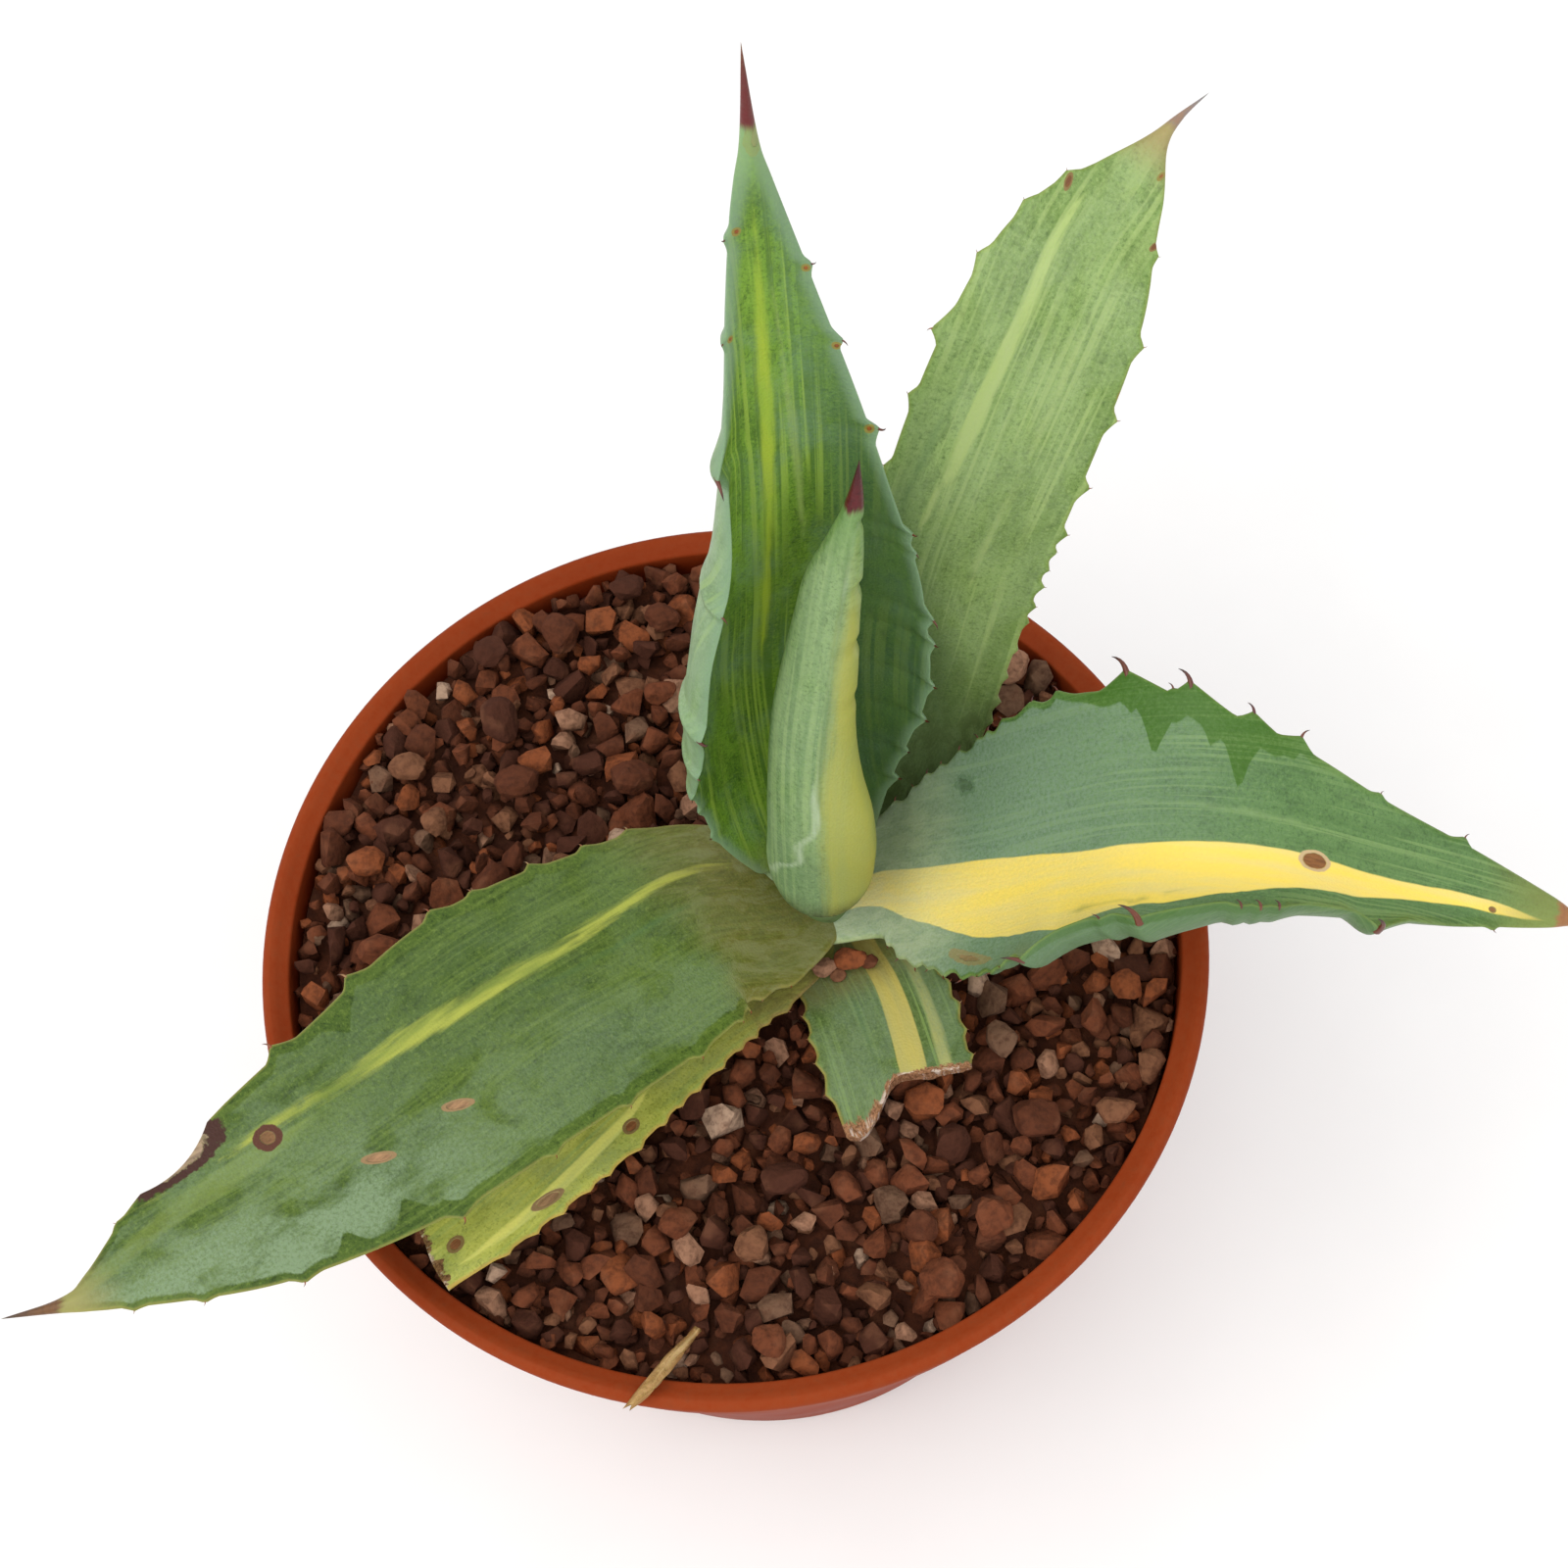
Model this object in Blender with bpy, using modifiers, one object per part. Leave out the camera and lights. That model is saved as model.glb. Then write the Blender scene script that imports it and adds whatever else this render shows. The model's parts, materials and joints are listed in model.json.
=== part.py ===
# Young variegated agave in a round plastic pot, top-dressed with lava chips.
# Metres, +Z up. The origin is the centre of the pot's flat base, on the pot's axis.
# Leaf, stem and chip sizes are written in millimetres, with heights counted from the pot's rim,
# and are turned into metres where the points are made.

import math
import random

import bmesh
import bpy
from mathutils import Vector, noise

MM = 0.001
GAP = 0.3  # clearance between touching pieces

# ---- pot (mm) ----
RIM_HEIGHT = 92.0
RIM_RADIUS = 60.0
LIP_WIDTH = 3.4
LIP_ROUND = 1.2
LIP_SLOPE = 1.0
BAND_HEIGHT = 13.0
BAND_DRAFT = 2.0  # the band is this much narrower at its lower edge, in radius
BAND_PROUD = 1.8
BASE_RADIUS = 43.5
WALL = 2.0
FLOOR = 2.4
BOSS_RADIUS = 13.0
FOOT_WIDTH = 5.0
RECESS = 1.2
DRAIN_RADIUS = 4.0
DRAIN_CIRCLE = 26.0
DRAIN_COUNT = 6
TURN_STEPS = 64

# ---- lava bed and chips (mm) ----
BED_DROP = 3.2  # mean depth of the bed's top below the rim
BED_TILT = 1.3  # the back left edge stands this much higher, and the front right edge lower
BED_TILT_AZIMUTH = 125.0
BED_RINGS = 7
BED_BUMP = 0.45
STONE_COUNT = 34
STONE_SIZES = (4.2, 6.6)  # smallest and largest mean diameter
STONE_SEED = 11

# ---- stem (mm) ----
STEM_CENTRE = (12.0, 0.0)
STEM_TOP = 9.0
STEM_BOTTOM = -26.0
STEM_RADIUS = 6.0
STEM_TOP_RADIUS = 3.4

# ---- leaves ----
# Each station: x, y, height over the rim, half width, left curl, right curl (mm and degrees).
# Left and right are seen looking outwards along the leaf with its upper face on top.
CURL_POWER = 1.5
RING = 12
LEAVES = {
    "spear_leaf": dict(
        azimuth=65, roll=(0, 0), thick=(11.5, 1.6), fullness=1.0, teeth=0, steps=22, cut=None,
        stations=(
            (12.0, -0.6, 9.9, 3.2, 0, 0),
            (12.0, -0.5, 15, 6.0, 0, 0),
            (12.2, 1.0, 28, 6.2, 0, 0),
            (13.4, 4.5, 42, 5.2, 0, 0),
            (16.0, 8.7, 57, 3.3, 0, 0),
            (18.2, 11.8, 69, 1.6, 0, 0),
            (19.3, 13.0, 75, 0.8, 0, 0),
            (20.0, 14.2, 81, 0.0, 0, 0),
        ),
    ),
    "inner_leaf": dict(
        azimuth=100, roll=(0, 0), thick=(3.2, 1.2), fullness=0.6, teeth=1.0, steps=40, cut=None,
        stations=(
            (11.5, 7.0, 7, 8.5, 50, 50),
            (9.8, 12.5, 20, 14.8, 75, 70),
            (9.6, 16.0, 37, 19.6, 115, 75),
            (11.0, 18.0, 54, 17.3, 110, 70),
            (11.8, 19.0, 70, 12.6, 120, 60),
            (12.1, 20.0, 86, 8.5, 125, 50),
            (12.2, 21.1, 100, 5.0, 90, 45),
            (12.2, 22.2, 113, 1.9, 30, 30),
            (12.3, 22.8, 118, 1.1, 0, 0),
            (12.4, 23.6, 126.5, 0.0, 0, 0),
        ),
    ),
    "back_leaf": dict(
        azimuth=70, roll=(-8, -8), thick=(3.4, 1.2), fullness=0.6, teeth=0.7, steps=38, cut=None,
        stations=(
            (19.0, 9.5, 2, 8.0, 20, 20),
            (22.3, 13.8, 9, 9.2, 25, 25),
            (25.2, 17.0, 16, 9.8, 25, 25),
            (28.4, 19.8, 30, 10.2, 22, 22),
            (31.5, 22.0, 45, 10.6, 20, 20),
            (36.2, 24.5, 60, 10.2, 18, 18),
            (42.5, 29.5, 74, 9.3, 18, 18),
            (47.3, 34.6, 80.5, 7.5, 18, 18),
            (52.2, 38.6, 84.3, 4.2, 12, 12),
            (55.8, 42.0, 86.3, 1.7, 5, 5),
            (58.5, 44.0, 87.3, 0.6, 0, 0),
            (62.0, 46.0, 88, 0.0, 0, 0),
        ),
    ),
    "right_leaf": dict(
        azimuth=-14, roll=(-8, -22), thick=(3.8, 1.2), fullness=0.6, teeth=1.3, steps=42, cut=None,
        stations=(
            (20.2, 0.0, 7.5, 8.2, 25, 25),
            (25.4, -2.2, 12.5, 11.8, 22, 28),
            (32.8, -4.8, 18.5, 15.3, 18, 45),
            (39.8, -6.5, 24.0, 17.5, 15, 65),
            (46.7, -8.5, 29.0, 16.7, 15, 75),
            (54.2, -11.1, 32.0, 14.5, 15, 80),
            (62.7, -13.5, 31.5, 11.1, 15, 75),
            (73.2, -16.2, 27.0, 7.6, 12, 60),
            (84.6, -18.6, 21.0, 4.8, 10, 40),
            (95.5, -20.9, 14.8, 2.0, 5, 5),
            (99.0, -21.8, 13.0, 0.8, 0, 0),
            (104.0, -22.8, 10.5, 0.0, 0, 0),
        ),
    ),
    "left_leaf": dict(
        azimuth=208, roll=(0, 0), thick=(3.8, 1.2), fullness=0.6, teeth=0.8, steps=40, cut=None,
        stations=(
            (4.6, -1.0, 6.0, 12.0, 20, 20),
            (-4.6, -1.9, 9, 14.6, 20, 20),
            (-14.4, -7.0, 12, 16.2, 18, 18),
            (-27.6, -14.3, 16, 16.7, 15, 15),
            (-41.0, -23.3, 18.5, 15.0, 15, 15),
            (-55.0, -31.0, 21, 11.8, 15, 15),
            (-66.0, -36.0, 22.8, 7.5, 12, 12),
            (-74.4, -40.0, 24, 2.6, 5, 5),
            (-78.2, -41.0, 24, 0.9, 0, 0),
            (-85.5, -41.1, 23, 0.0, 0, 0),
        ),
    ),
    "left_under_leaf": dict(
        azimuth=218, roll=(0, 0), thick=(2.8, 1.8), fullness=0.6, teeth=0.6, steps=21, cut=0.0,
        stations=(
            (4.0, -3.6, 0.3, 8.0, 15, 15),
            (-4.5, -7.2, 1.2, 9.6, 12, 12),
            (-15.5, -14.3, 2.2, 10.5, 12, 12),
            (-23.6, -20.5, 3.2, 10.6, 12, 12),
            (-35.3, -28.9, 4.0, 9.5, 10, 10),
            (-42.4, -33.4, 4.3, 8.3, 10, 10),
        ),
    ),
    "cut_leaf": dict(
        azimuth=281, roll=(0, 0), thick=(2.8, 2.2), fullness=0.6, teeth=0.6, steps=14, cut=3.4,
        stations=(
            (14.5, -7.8, -0.2, 7.4, 18, 18),
            (15.8, -12.5, 1.0, 8.8, 20, 20),
            (16.7, -18.0, 1.8, 9.2, 18, 18),
            (17.7, -27.0, 2.4, 8.6, 15, 15),
        ),
    ),
    "dry_leaf_scrap": dict(
        azimuth=221, roll=(0, 0), thick=(0.7, 0.6), fullness=0.6, teeth=0, steps=12, cut=0.8,
        stations=(
            (-12.3, -49.4, -2.5, 0.8, 30, 30),
            (-15.0, -52.3, -0.5, 1.4, 35, 35),
            (-17.6, -55.0, 0.8, 1.4, 35, 35),
            (-20.4, -57.2, 1.4, 0.7, 20, 20),
        ),
    ),
}

# Each pair is an outer leaf and the inner one that it clasps: the outer leaf is cut clear of the
# inner leaf's slightly grown shape.
RELIEVED = (
    ("back_leaf", "inner_leaf"),
    ("right_leaf", "inner_leaf"),
    ("left_leaf", "inner_leaf"),
)

COLOURS = {
    "pot": (0.33, 0.075, 0.030),
    "lava_bed": (0.070, 0.032, 0.022),
    "stem": (0.20, 0.24, 0.10),
    "spear_leaf": (0.24, 0.35, 0.20),
    "inner_leaf": (0.13, 0.26, 0.14),
    "back_leaf": (0.22, 0.33, 0.13),
    "right_leaf": (0.17, 0.28, 0.16),
    "left_leaf": (0.12, 0.24, 0.11),
    "left_under_leaf": (0.17, 0.26, 0.08),
    "cut_leaf": (0.20, 0.29, 0.12),
    "dry_leaf_scrap": (0.52, 0.33, 0.14),
}
STONE_COLOURS = ((0.16, 0.055, 0.032), (0.11, 0.050, 0.038), (0.30, 0.17, 0.12), (0.22, 0.080, 0.040))


def collection(name):
    made = bpy.data.collections.new(name)
    bpy.context.scene.collection.children.link(made)
    return made


def material(name, colour, roughness):
    made = bpy.data.materials.new(name)
    made.use_nodes = True
    shader = made.node_tree.nodes["Principled BSDF"]
    shader.inputs["Base Color"].default_value = (*colour, 1.0)
    shader.inputs["Roughness"].default_value = roughness
    shader.inputs["Metallic"].default_value = 0.0
    return made


def add_object(name, mesh, where, colour=None, roughness=0.6):
    made = bpy.data.objects.new(name, mesh)
    where.objects.link(made)
    if colour:
        mesh.materials.append(material(name, colour, roughness))
    return made


def mesh_from(bm, name):
    bmesh.ops.recalc_face_normals(bm, faces=bm.faces)
    mesh = bpy.data.meshes.new(name)
    bm.to_mesh(mesh)
    bm.free()
    return mesh


def cut_by(target, cutter, label):
    modifier = target.modifiers.new(label, "BOOLEAN")
    modifier.operation = "DIFFERENCE"
    modifier.solver = "EXACT"
    modifier.object = cutter
    cutter.hide_render = True
    cutter.display_type = "WIRE"


def turned(name, profile, steps, where, colour, roughness):
    """A closed outline of (radius, height) in mm, turned about Z with a Screw modifier."""
    bm = bmesh.new()
    points = [bm.verts.new((radius * MM, 0, height * MM)) for radius, height in profile]
    for first, second in zip(points, points[1:]):
        bm.edges.new((first, second))
    mesh = bpy.data.meshes.new(name)
    bm.to_mesh(mesh)
    bm.free()
    made = add_object(name, mesh, where, colour, roughness)
    screw = made.modifiers.new("turn", "SCREW")
    screw.steps = steps
    screw.render_steps = steps
    screw.use_merge_vertices = True
    screw.merge_threshold = 0.00001
    screw.use_smooth_shade = True
    return made


def arc(centre, radius, start, end, count):
    """Points of a circular arc, from start to end degrees, both included."""
    points = []
    for i in range(count + 1):
        angle = math.radians(start + (end - start) * i / count)
        points.append((centre[0] + radius * math.cos(angle), centre[1] + radius * math.sin(angle)))
    return points


def outer_wall_radius(height):
    """The outside of the tapered wall, which meets the rim band's underside at its top."""
    top = RIM_RADIUS - BAND_DRAFT - BAND_PROUD
    share = height / (RIM_HEIGHT - BAND_HEIGHT)
    return BASE_RADIUS + (top - BASE_RADIUS) * share


def inner_wall_radius(height):
    return outer_wall_radius(min(height, RIM_HEIGHT - BAND_HEIGHT)) - WALL


def build_pot(where, cutters):
    band_bottom = RIM_HEIGHT - BAND_HEIGHT
    lip_inner = RIM_RADIUS - LIP_WIDTH
    lip_crown = RIM_HEIGHT - LIP_ROUND
    profile = [(0, FLOOR), (inner_wall_radius(FLOOR) - 1.5, FLOOR), (inner_wall_radius(FLOOR), FLOOR + 1.5)]
    profile.append((inner_wall_radius(band_bottom), band_bottom))
    profile.append((lip_inner, band_bottom + 2.0))
    profile.append((lip_inner, RIM_HEIGHT - LIP_SLOPE))
    profile += arc((RIM_RADIUS - LIP_ROUND, lip_crown), LIP_ROUND, 90, 0, 5)
    profile.append((RIM_RADIUS - BAND_DRAFT, band_bottom + 0.6))
    profile.append((RIM_RADIUS - BAND_DRAFT - 0.6, band_bottom))
    profile.append((outer_wall_radius(band_bottom), band_bottom))
    profile += [(outer_wall_radius(1.2), 1.2), (BASE_RADIUS - 1.0, 0)]
    foot_inner = BASE_RADIUS - 1.0 - FOOT_WIDTH
    profile += [(foot_inner, 0), (foot_inner - RECESS, RECESS), (BOSS_RADIUS + RECESS, RECESS)]
    profile += [(BOSS_RADIUS, 0), (0, 0)]
    pot = turned("pot", profile, TURN_STEPS, where, COLOURS["pot"], 0.5)

    bm = bmesh.new()
    for i in range(DRAIN_COUNT):
        angle = 2 * math.pi * i / DRAIN_COUNT
        centre = Vector((math.cos(angle), math.sin(angle), 0)) * DRAIN_CIRCLE * MM
        new = bmesh.ops.create_cone(
            bm, cap_ends=True, segments=16, radius1=DRAIN_RADIUS * MM, radius2=DRAIN_RADIUS * MM, depth=0.02
        )
        bmesh.ops.translate(bm, verts=new["verts"], vec=centre)
    drains = add_object("drain_cutter", mesh_from(bm, "drain_cutter"), cutters)
    cut_by(pot, drains, "drain holes")


def bed_top(x, y):
    """Height of the lava bed's top over the rim at a place, in mm, without its small bumps."""
    azimuth = math.radians(BED_TILT_AZIMUTH)
    along = (x * math.cos(azimuth) + y * math.sin(azimuth)) / RIM_RADIUS
    return -BED_DROP + BED_TILT * along


def build_bed(where, cutters):
    top = RIM_HEIGHT - BED_DROP
    bottom = FLOOR + GAP
    low = inner_wall_radius(FLOOR) - 1.5 - GAP
    profile = [(0, top)]
    brim = RIM_RADIUS - LIP_WIDTH - GAP
    profile += [(brim * (i + 1) / BED_RINGS, top) for i in range(BED_RINGS)]
    profile += [(brim, RIM_HEIGHT - BAND_HEIGHT + 2.3)]
    shoulder = RIM_HEIGHT - BAND_HEIGHT - 0.3
    profile += [(inner_wall_radius(shoulder) - GAP, shoulder)]
    profile += [(inner_wall_radius(FLOOR + 1.5) - GAP, FLOOR + 1.5 + GAP), (low, bottom), (0, bottom)]
    bm = bmesh.new()
    points = [bm.verts.new((radius * MM, 0, height * MM)) for radius, height in profile]
    for first, second in zip(points, points[1:]):
        bm.edges.new((first, second))
    bmesh.ops.spin(
        bm, geom=bm.verts[:] + bm.edges[:], axis=(0, 0, 1), cent=(0, 0, 0),
        angle=2 * math.pi, steps=TURN_STEPS // 2, use_merge=True,
    )
    bmesh.ops.remove_doubles(bm, verts=bm.verts, dist=0.00001)
    for vert in bm.verts:
        if vert.co.z > (top - 0.1) * MM:
            x = vert.co.x / MM
            y = vert.co.y / MM
            bump = BED_BUMP * noise.noise(Vector((x * 0.2, y * 0.2, 0.0)))
            vert.co.z = (RIM_HEIGHT + bed_top(x, y) + bump) * MM
    bed = add_object("lava_bed", mesh_from(bm, "lava_bed"), where, COLOURS["lava_bed"], 0.95)

    bm = bmesh.new()
    depth = STEM_TOP - STEM_BOTTOM
    bmesh.ops.create_cone(
        bm, cap_ends=True, segments=24, radius1=(STEM_RADIUS + GAP) * MM,
        radius2=(STEM_RADIUS + GAP) * MM, depth=(depth + GAP) * MM,
    )
    middle = RIM_HEIGHT + (STEM_TOP + STEM_BOTTOM - GAP) / 2
    bmesh.ops.translate(bm, verts=bm.verts, vec=Vector((*STEM_CENTRE, middle)) * MM)
    socket = add_object("stem_socket_cutter", mesh_from(bm, "stem_socket_cutter"), cutters)
    cut_by(bed, socket, "stem socket")


def build_stem(where):
    profile = [(0, STEM_TOP), (STEM_TOP_RADIUS - 0.8, STEM_TOP), (STEM_TOP_RADIUS, STEM_TOP - 0.8)]
    profile += [(STEM_TOP_RADIUS + 0.6, 4.0), (STEM_RADIUS - 1.4, 1.0), (STEM_RADIUS - 1.0, -2.0)]
    profile += [(STEM_RADIUS, -8.0), (STEM_RADIUS - 1.0, -18.0), (STEM_RADIUS - 3.0, STEM_BOTTOM), (0, STEM_BOTTOM)]
    stem = turned("stem", profile, 20, where, COLOURS["stem"], 0.7)
    stem.location = (STEM_CENTRE[0] * MM, STEM_CENTRE[1] * MM, RIM_HEIGHT * MM)


def smooth(stations, place):
    """Catmull-Rom reading of every column of the stations at a place, 0 to the last index."""
    last = len(stations) - 1
    i = min(int(place), last - 1)
    f = place - i
    result = []
    for column in range(len(stations[0])):
        b = stations[i][column]
        c = stations[i + 1][column]
        a = stations[i - 1][column] if i > 0 else 2 * b - c
        d = stations[i + 2][column] if i + 2 <= last else 2 * c - b
        cubic = (c - a) * f + (2 * a - 5 * b + 4 * c - d) * f**2 + (3 * b - a - 3 * c + d) * f**3
        result.append(b + cubic / 2)
    return result


def across(half_width, curl, share, pieces=10):
    """Sideways and upward place, and slope, on a section that curls more towards its margin."""
    side = 0.0
    rise = 0.0
    for i in range(pieces):
        slope = curl * ((i + 0.5) / pieces * share) ** CURL_POWER
        side += math.cos(slope)
        rise += math.sin(slope)
    length = half_width * share / pieces
    return side * length, rise * length, curl * share**CURL_POWER


def leaf_ring(leaf, place, tooth, grow):
    """The ring of points round the leaf at a place along its stations, in metres."""
    stations = leaf["stations"]
    last = len(stations) - 1
    x, y, height, half_width, left, right = smooth(stations, place)
    ahead = Vector(smooth(stations, min(place + 0.05, last))[:3])
    behind = Vector(smooth(stations, max(place - 0.05, 0))[:3])
    along = (ahead - behind).normalized()
    azimuth = math.radians(leaf["azimuth"])
    side = Vector((math.sin(azimuth), -math.cos(azimuth), 0))
    side = (side - along * side.dot(along)).normalized()
    up = side.cross(along)
    roll = math.radians(leaf["roll"][0] + (leaf["roll"][1] - leaf["roll"][0]) * place / last)
    side, up = side * math.cos(roll) + up * math.sin(roll), up * math.cos(roll) - side * math.sin(roll)

    share_along = place / last
    thick = leaf["thick"][0] + (leaf["thick"][1] - leaf["thick"][0]) * share_along
    thick = min(thick, 2 * half_width) + 2 * grow
    half_width = max(half_width, 0.05) + grow
    centre = Vector((x, y, height + RIM_HEIGHT))
    ring = []
    for i in range(RING):
        turn = 2 * math.pi * i / RING
        share = math.cos(turn)
        curl = math.radians(max(right if share > 0 else left, 0.0))
        sideways, rise, slope = across(half_width, curl, abs(share))
        half = math.copysign(thick / 2 * abs(math.sin(turn)) ** leaf["fullness"], math.sin(turn))
        if abs(share) > 0.99:
            half = 0.0
            sideways += tooth * math.cos(slope)
            rise += tooth * math.sin(slope)
        hand = 1 if share > 0 else -1
        point = centre + side * hand * (sideways - half * math.sin(slope))
        point += up * (rise + half * math.cos(slope))
        ring.append((point + along * (leaf["cut"] or 0.0) * hand * abs(share) * share_along**6) * MM)
    return ring


def leaf_mesh(name, grow=0.0):
    """A loft through the leaf's rings: capped at its base, and pointed or trimmed at its end."""
    leaf = LEAVES[name]
    last = len(leaf["stations"]) - 1
    pointed = leaf["cut"] is None
    bm = bmesh.new()
    rings = []
    steps = leaf["steps"]
    for i in range(steps + (0 if pointed else 1)):
        place = last * i / steps
        tooth = leaf["teeth"] if i % 3 == 1 and place < last - 3 else 0.0
        rings.append([bm.verts.new(point) for point in leaf_ring(leaf, place, tooth, grow)])
    for first, second in zip(rings, rings[1:]):
        for i in range(RING):
            j = (i + 1) % RING
            bm.faces.new((first[i], first[j], second[j], second[i]))
    bm.faces.new(reversed(rings[0]))
    if pointed:
        tip = bm.verts.new((Vector(leaf["stations"][-1][:3]) + Vector((0, 0, RIM_HEIGHT))) * MM)
        for i in range(RING):
            bm.faces.new((rings[-1][i], rings[-1][(i + 1) % RING], tip))
    else:
        bm.faces.new(rings[-1])
    mesh = mesh_from(bm, name)
    mesh.shade_smooth()
    mesh.set_sharp_from_angle(angle=math.radians(50))
    return mesh


def build_leaves(where, cutters):
    made = {}
    for name in LEAVES:
        made[name] = add_object(name, leaf_mesh(name), where, COLOURS[name], 0.45)
    for outer, inner in RELIEVED:
        grown = add_object(f"{outer}_relief_cutter", leaf_mesh(inner, grow=GAP * 1.5), cutters)
        cut_by(made[outer], grown, f"room for {inner}")


def clear_of_leaves(x, y, reach):
    """True where no low leaf hangs over a chip of this reach, in mm."""
    for name in ("left_leaf", "left_under_leaf", "cut_leaf", "right_leaf", "back_leaf", "dry_leaf_scrap"):
        stations = LEAVES[name]["stations"]
        last = len(stations) - 1
        for i in range(4 * last + 1):
            px, py, height, half_width = smooth(stations, i / 4)[:4]
            if height < 14 and math.hypot(px - x, py - y) < half_width + reach + 1.0:
                return False
    return math.hypot(x - STEM_CENTRE[0], y - STEM_CENTRE[1]) > STEM_RADIUS + reach + 4


def stone_places():
    """Seeded places for the larger chips: (x, y, mean radius), none touching another."""
    rng = random.Random(STONE_SEED)
    places = []
    while len(places) < STONE_COUNT:
        size = rng.uniform(*STONE_SIZES) / 2
        angle = rng.uniform(0, 2 * math.pi)
        distance = (RIM_RADIUS - LIP_WIDTH - size * 1.4) * math.sqrt(rng.random())
        x = distance * math.cos(angle)
        y = distance * math.sin(angle)
        apart = all(math.hypot(x - a, y - b) > 1.35 * (size + s) for a, b, s in places)
        if apart and clear_of_leaves(x, y, 1.3 * size):
            places.append((x, y, size))
    return places


def build_stones(where):
    for number, (x, y, size) in enumerate(stone_places(), start=1):
        rng = random.Random(STONE_SEED * 100 + number)
        bm = bmesh.new()
        bmesh.ops.create_icosphere(bm, subdivisions=1, radius=1.0)
        turn = rng.uniform(0, 2 * math.pi)
        stretch = rng.uniform(0.85, 1.25)
        for vert in bm.verts:
            wide = vert.co.x * stretch
            deep = vert.co.y / stretch
            uneven = size * MM * rng.uniform(0.85, 1.12)
            vert.co.x = uneven * (wide * math.cos(turn) - deep * math.sin(turn))
            vert.co.y = uneven * (wide * math.sin(turn) + deep * math.cos(turn))
            vert.co.z *= uneven * 0.72
        lowest = min(vert.co.z for vert in bm.verts)
        seat = (RIM_HEIGHT + bed_top(x, y) + BED_BUMP + GAP) * MM
        bmesh.ops.translate(bm, verts=bm.verts, vec=(x * MM, y * MM, seat - lowest))
        name = f"lava_stone_{number:02d}"
        colour = STONE_COLOURS[number % len(STONE_COLOURS)]
        add_object(name, mesh_from(bm, name), where, colour, 0.95)


def main():
    for thing in list(bpy.data.objects):
        bpy.data.objects.remove(thing, do_unlink=True)
    parts = collection("potted_agave")
    cutters = collection("cutters")
    build_pot(parts, cutters)
    build_bed(parts, cutters)
    build_stem(parts)
    build_leaves(parts, cutters)
    build_stones(parts)


main()
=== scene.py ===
import json
import math
import random

import bmesh
import bpy
import numpy as np
from mathutils import Matrix, Vector, noise

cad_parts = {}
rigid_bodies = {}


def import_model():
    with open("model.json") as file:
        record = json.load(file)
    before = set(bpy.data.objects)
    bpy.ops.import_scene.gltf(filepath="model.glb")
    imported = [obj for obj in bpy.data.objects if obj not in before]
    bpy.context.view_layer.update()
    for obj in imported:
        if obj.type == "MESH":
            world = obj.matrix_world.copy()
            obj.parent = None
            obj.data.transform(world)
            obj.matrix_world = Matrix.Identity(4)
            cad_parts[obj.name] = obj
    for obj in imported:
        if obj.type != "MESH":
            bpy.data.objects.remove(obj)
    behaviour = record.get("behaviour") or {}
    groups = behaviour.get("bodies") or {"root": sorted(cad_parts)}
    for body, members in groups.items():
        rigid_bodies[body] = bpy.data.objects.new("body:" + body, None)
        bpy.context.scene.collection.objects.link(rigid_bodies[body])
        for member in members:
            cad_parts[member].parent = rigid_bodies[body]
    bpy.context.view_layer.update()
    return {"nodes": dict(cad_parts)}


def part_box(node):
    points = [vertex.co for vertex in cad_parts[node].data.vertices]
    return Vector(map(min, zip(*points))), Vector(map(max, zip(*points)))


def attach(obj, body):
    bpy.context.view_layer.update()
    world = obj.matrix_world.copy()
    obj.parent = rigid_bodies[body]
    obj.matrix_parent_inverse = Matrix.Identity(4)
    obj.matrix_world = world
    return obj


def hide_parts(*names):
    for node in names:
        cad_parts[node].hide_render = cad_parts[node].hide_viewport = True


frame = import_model()
scene = bpy.context.scene
scene.view_settings.view_transform = "Standard"

mm = 0.001
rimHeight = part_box("pot")[1].z / mm  # heights of leaves and chips are counted from the pot's rim

# A station is x, y, height, half width, left curl, right curl, in mm and degrees.
# Left and right are seen looking outwards along the leaf. The root is an extra station inside the heart.
leafDetail = dict(ringGap=0.5, tipRingGap=0.4, columns=34, curlPower=1.5)

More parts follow.
